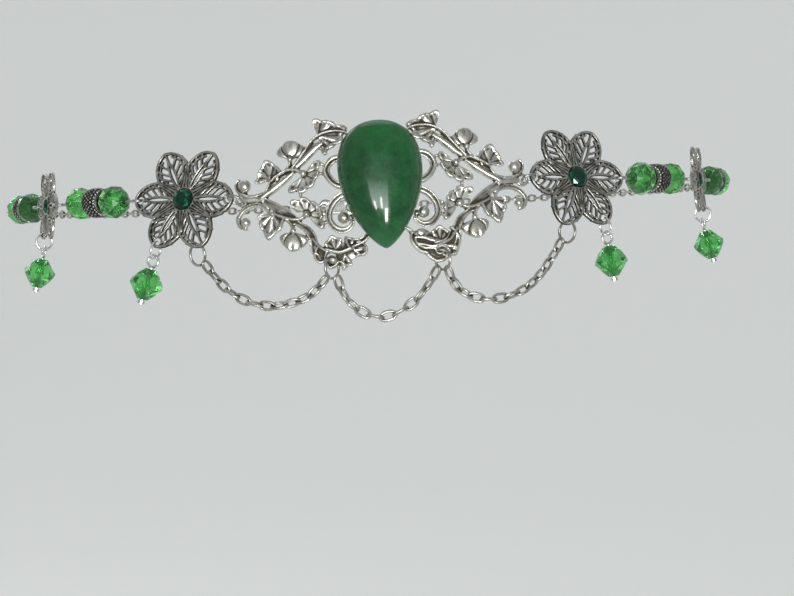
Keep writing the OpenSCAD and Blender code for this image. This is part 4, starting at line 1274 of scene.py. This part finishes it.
def makeStudio():
    rows = [(0.02, 0.0), (studio["flat"] * 0.5, 0.0), (studio["flat"], 0.0)]
    bend = studio["wall"] - studio["flat"]
    rows += [(studio["flat"] + bend * math.sin(a), bend * (1 - math.cos(a)))
             for a in np.linspace(0.1, math.pi / 2, 14)]
    rows.append((studio["wall"], studio["top"]))
    heap, n = Heap(), studio["sides"]
    faces = [(j * n + i, (j + 1) * n + i, (j + 1) * n + (i + 1) % n, j * n + (i + 1) % n)
             for j in range(len(rows) - 1) for i in range(n)]
    faces.append(tuple(range(n)))
    heap.add([ring(r, z + studio["floor"], n) for r, z in rows], faces)
    mesh = heap.mesh("paleBackdrop", 1)
    # the paper's far side glows with painted light, as if lit from behind, and its near side,
    # which the silver mirrors, is painted darker as shade
    f = Finish("paleBackdrop")
    far = f.ramp(f.along(1), *studio["farSpan"])
    near = tuple(c * studio["near"] for c in studio["colour"])
    f.shade(colour=f.mixed(far, near, studio["colour"]), rough=0.9, glossy=0.1,
            glow=f.mixed(far, studio["glowNear"], studio["glowFar"]), glowAmount=studio["glow"])
    mesh.materials.append(f.material)
    setSmooth(mesh)
    makeObject("paleBackdrop", mesh)


middle = (0, -0.099, -0.003)  # the stone's middle, in metres


def facing(degrees, rise, far):
    # a place so far from the stone's middle in that direction
    a, b = math.radians(degrees), math.radians(rise)
    return (middle[0] + far * math.sin(a) * math.cos(b),
            middle[1] - far * math.cos(a) * math.cos(b), middle[2] + far * math.sin(b))


# name, place, target, size, watts, colour; the panes are what the stone mirrors
lamps = [
    ("paneLeft", facing(-18.8, -10, 0.33), middle, (0.026, 0.033), 0.045, (1, 0.99, 0.97)),
    ("paneMiddle", facing(-4.2, -7.1, 0.33), middle, (0.024, 0.045), 0.061, (1, 0.99, 0.97)),
    ("paneRight", facing(10.1, -16.5, 0.33), middle, (0.048, 0.067), 0.263, (1, 0.99, 0.97)),
    ("windowSide", facing(9.0, -16, 0.5), middle, (0.19, 0.105), 0.094, (0.95, 0.99, 1)),
    ("airWide", facing(-3.0, 7.0, 0.64), middle, (0.9, 0.62), 0.2, (0.95, 0.98, 1)),
    ("airHalf", facing(-3.0, 6.0, 0.62), middle, (0.62, 0.42), 0.1, (0.95, 0.98, 1)),
    ("airCore", facing(-3.0, 5.0, 0.6), middle, (0.36, 0.26), 0.036, (0.95, 0.98, 1)),
    ("fillLeft", (-0.8, -0.8, 0.7), (0, -0.09, 0), (1.1, 1.1), 0.9, (1, 0.99, 0.97)),
    ("fillRight", (0.9, -0.7, 0.6), (0, -0.05, 0), (0.9, 0.9), 0.7, (0.96, 0.98, 1)),
    ("overhead", (0.0, 0.5, 1.2), (0, 0, 0), (1.0, 1.0), 2.0, (1, 1, 1)),
    ("backLeft", (-0.7, 0.8, 0.6), (0, 0, 0), (0.7, 0.7), 1.5, (1, 1, 1))]
# the window brightens in steps towards its sill, each pane taller, narrower and nearer than the
# last, in degrees and metres
window = dict(steps=9, tall=4.6, taller=1.7, wide=0.35, narrower=0.003, heading=-3.0, turn=0.35,
              sill=-11.3, far=0.5, nearer=0.004, watts=1.9, colour=(0.94, 0.99, 1))
w = window
for i in range(w["steps"]):
    tall, wide = w["tall"] + w["taller"] * i, w["wide"] - w["narrower"] * i
    high = w["far"] * math.radians(tall)
    place = facing(w["heading"] - w["turn"] * i, w["sill"] + tall / 2,
                   w["far"] - w["nearer"] * i)
    lamps.append((f"window{i}", place, middle, (wide, high), w["watts"] * wide * high,
                  w["colour"]))
softLamps = ("fillLeft", "fillRight", "overhead", "backLeft", "airWide", "airHalf", "airCore")


def makeLights():
    for name, place, target, size, watts, colour in lamps:
        data = bpy.data.lights.new(name, "AREA")
        data.shape = "ELLIPSE" if name in softLamps else "RECTANGLE"
        data.size, data.size_y = size
        data.energy, data.color = watts, colour
        lamp = bpy.data.objects.new(name, data)
        lamp.location = place
        lamp.visible_camera = False
        lamp.visible_glossy = not name.startswith("fill")
        aim = Vector(target) - Vector(place)
        lamp.rotation_euler = aim.to_track_quat("-Z", "Y").to_euler()
        bpy.context.scene.collection.objects.link(lamp)
    world = bpy.data.worlds.new("studioAir")
    world.use_nodes = True
    air = world.node_tree.nodes["Background"]
    air.inputs["Color"].default_value = (*studio["air"], 1)
    air.inputs["Strength"].default_value = studio["airStrength"]
    bpy.context.scene.world = world
    bpy.context.scene.view_settings.view_transform = "Standard"


makeStudio()
makeLights()
print("studio lit")
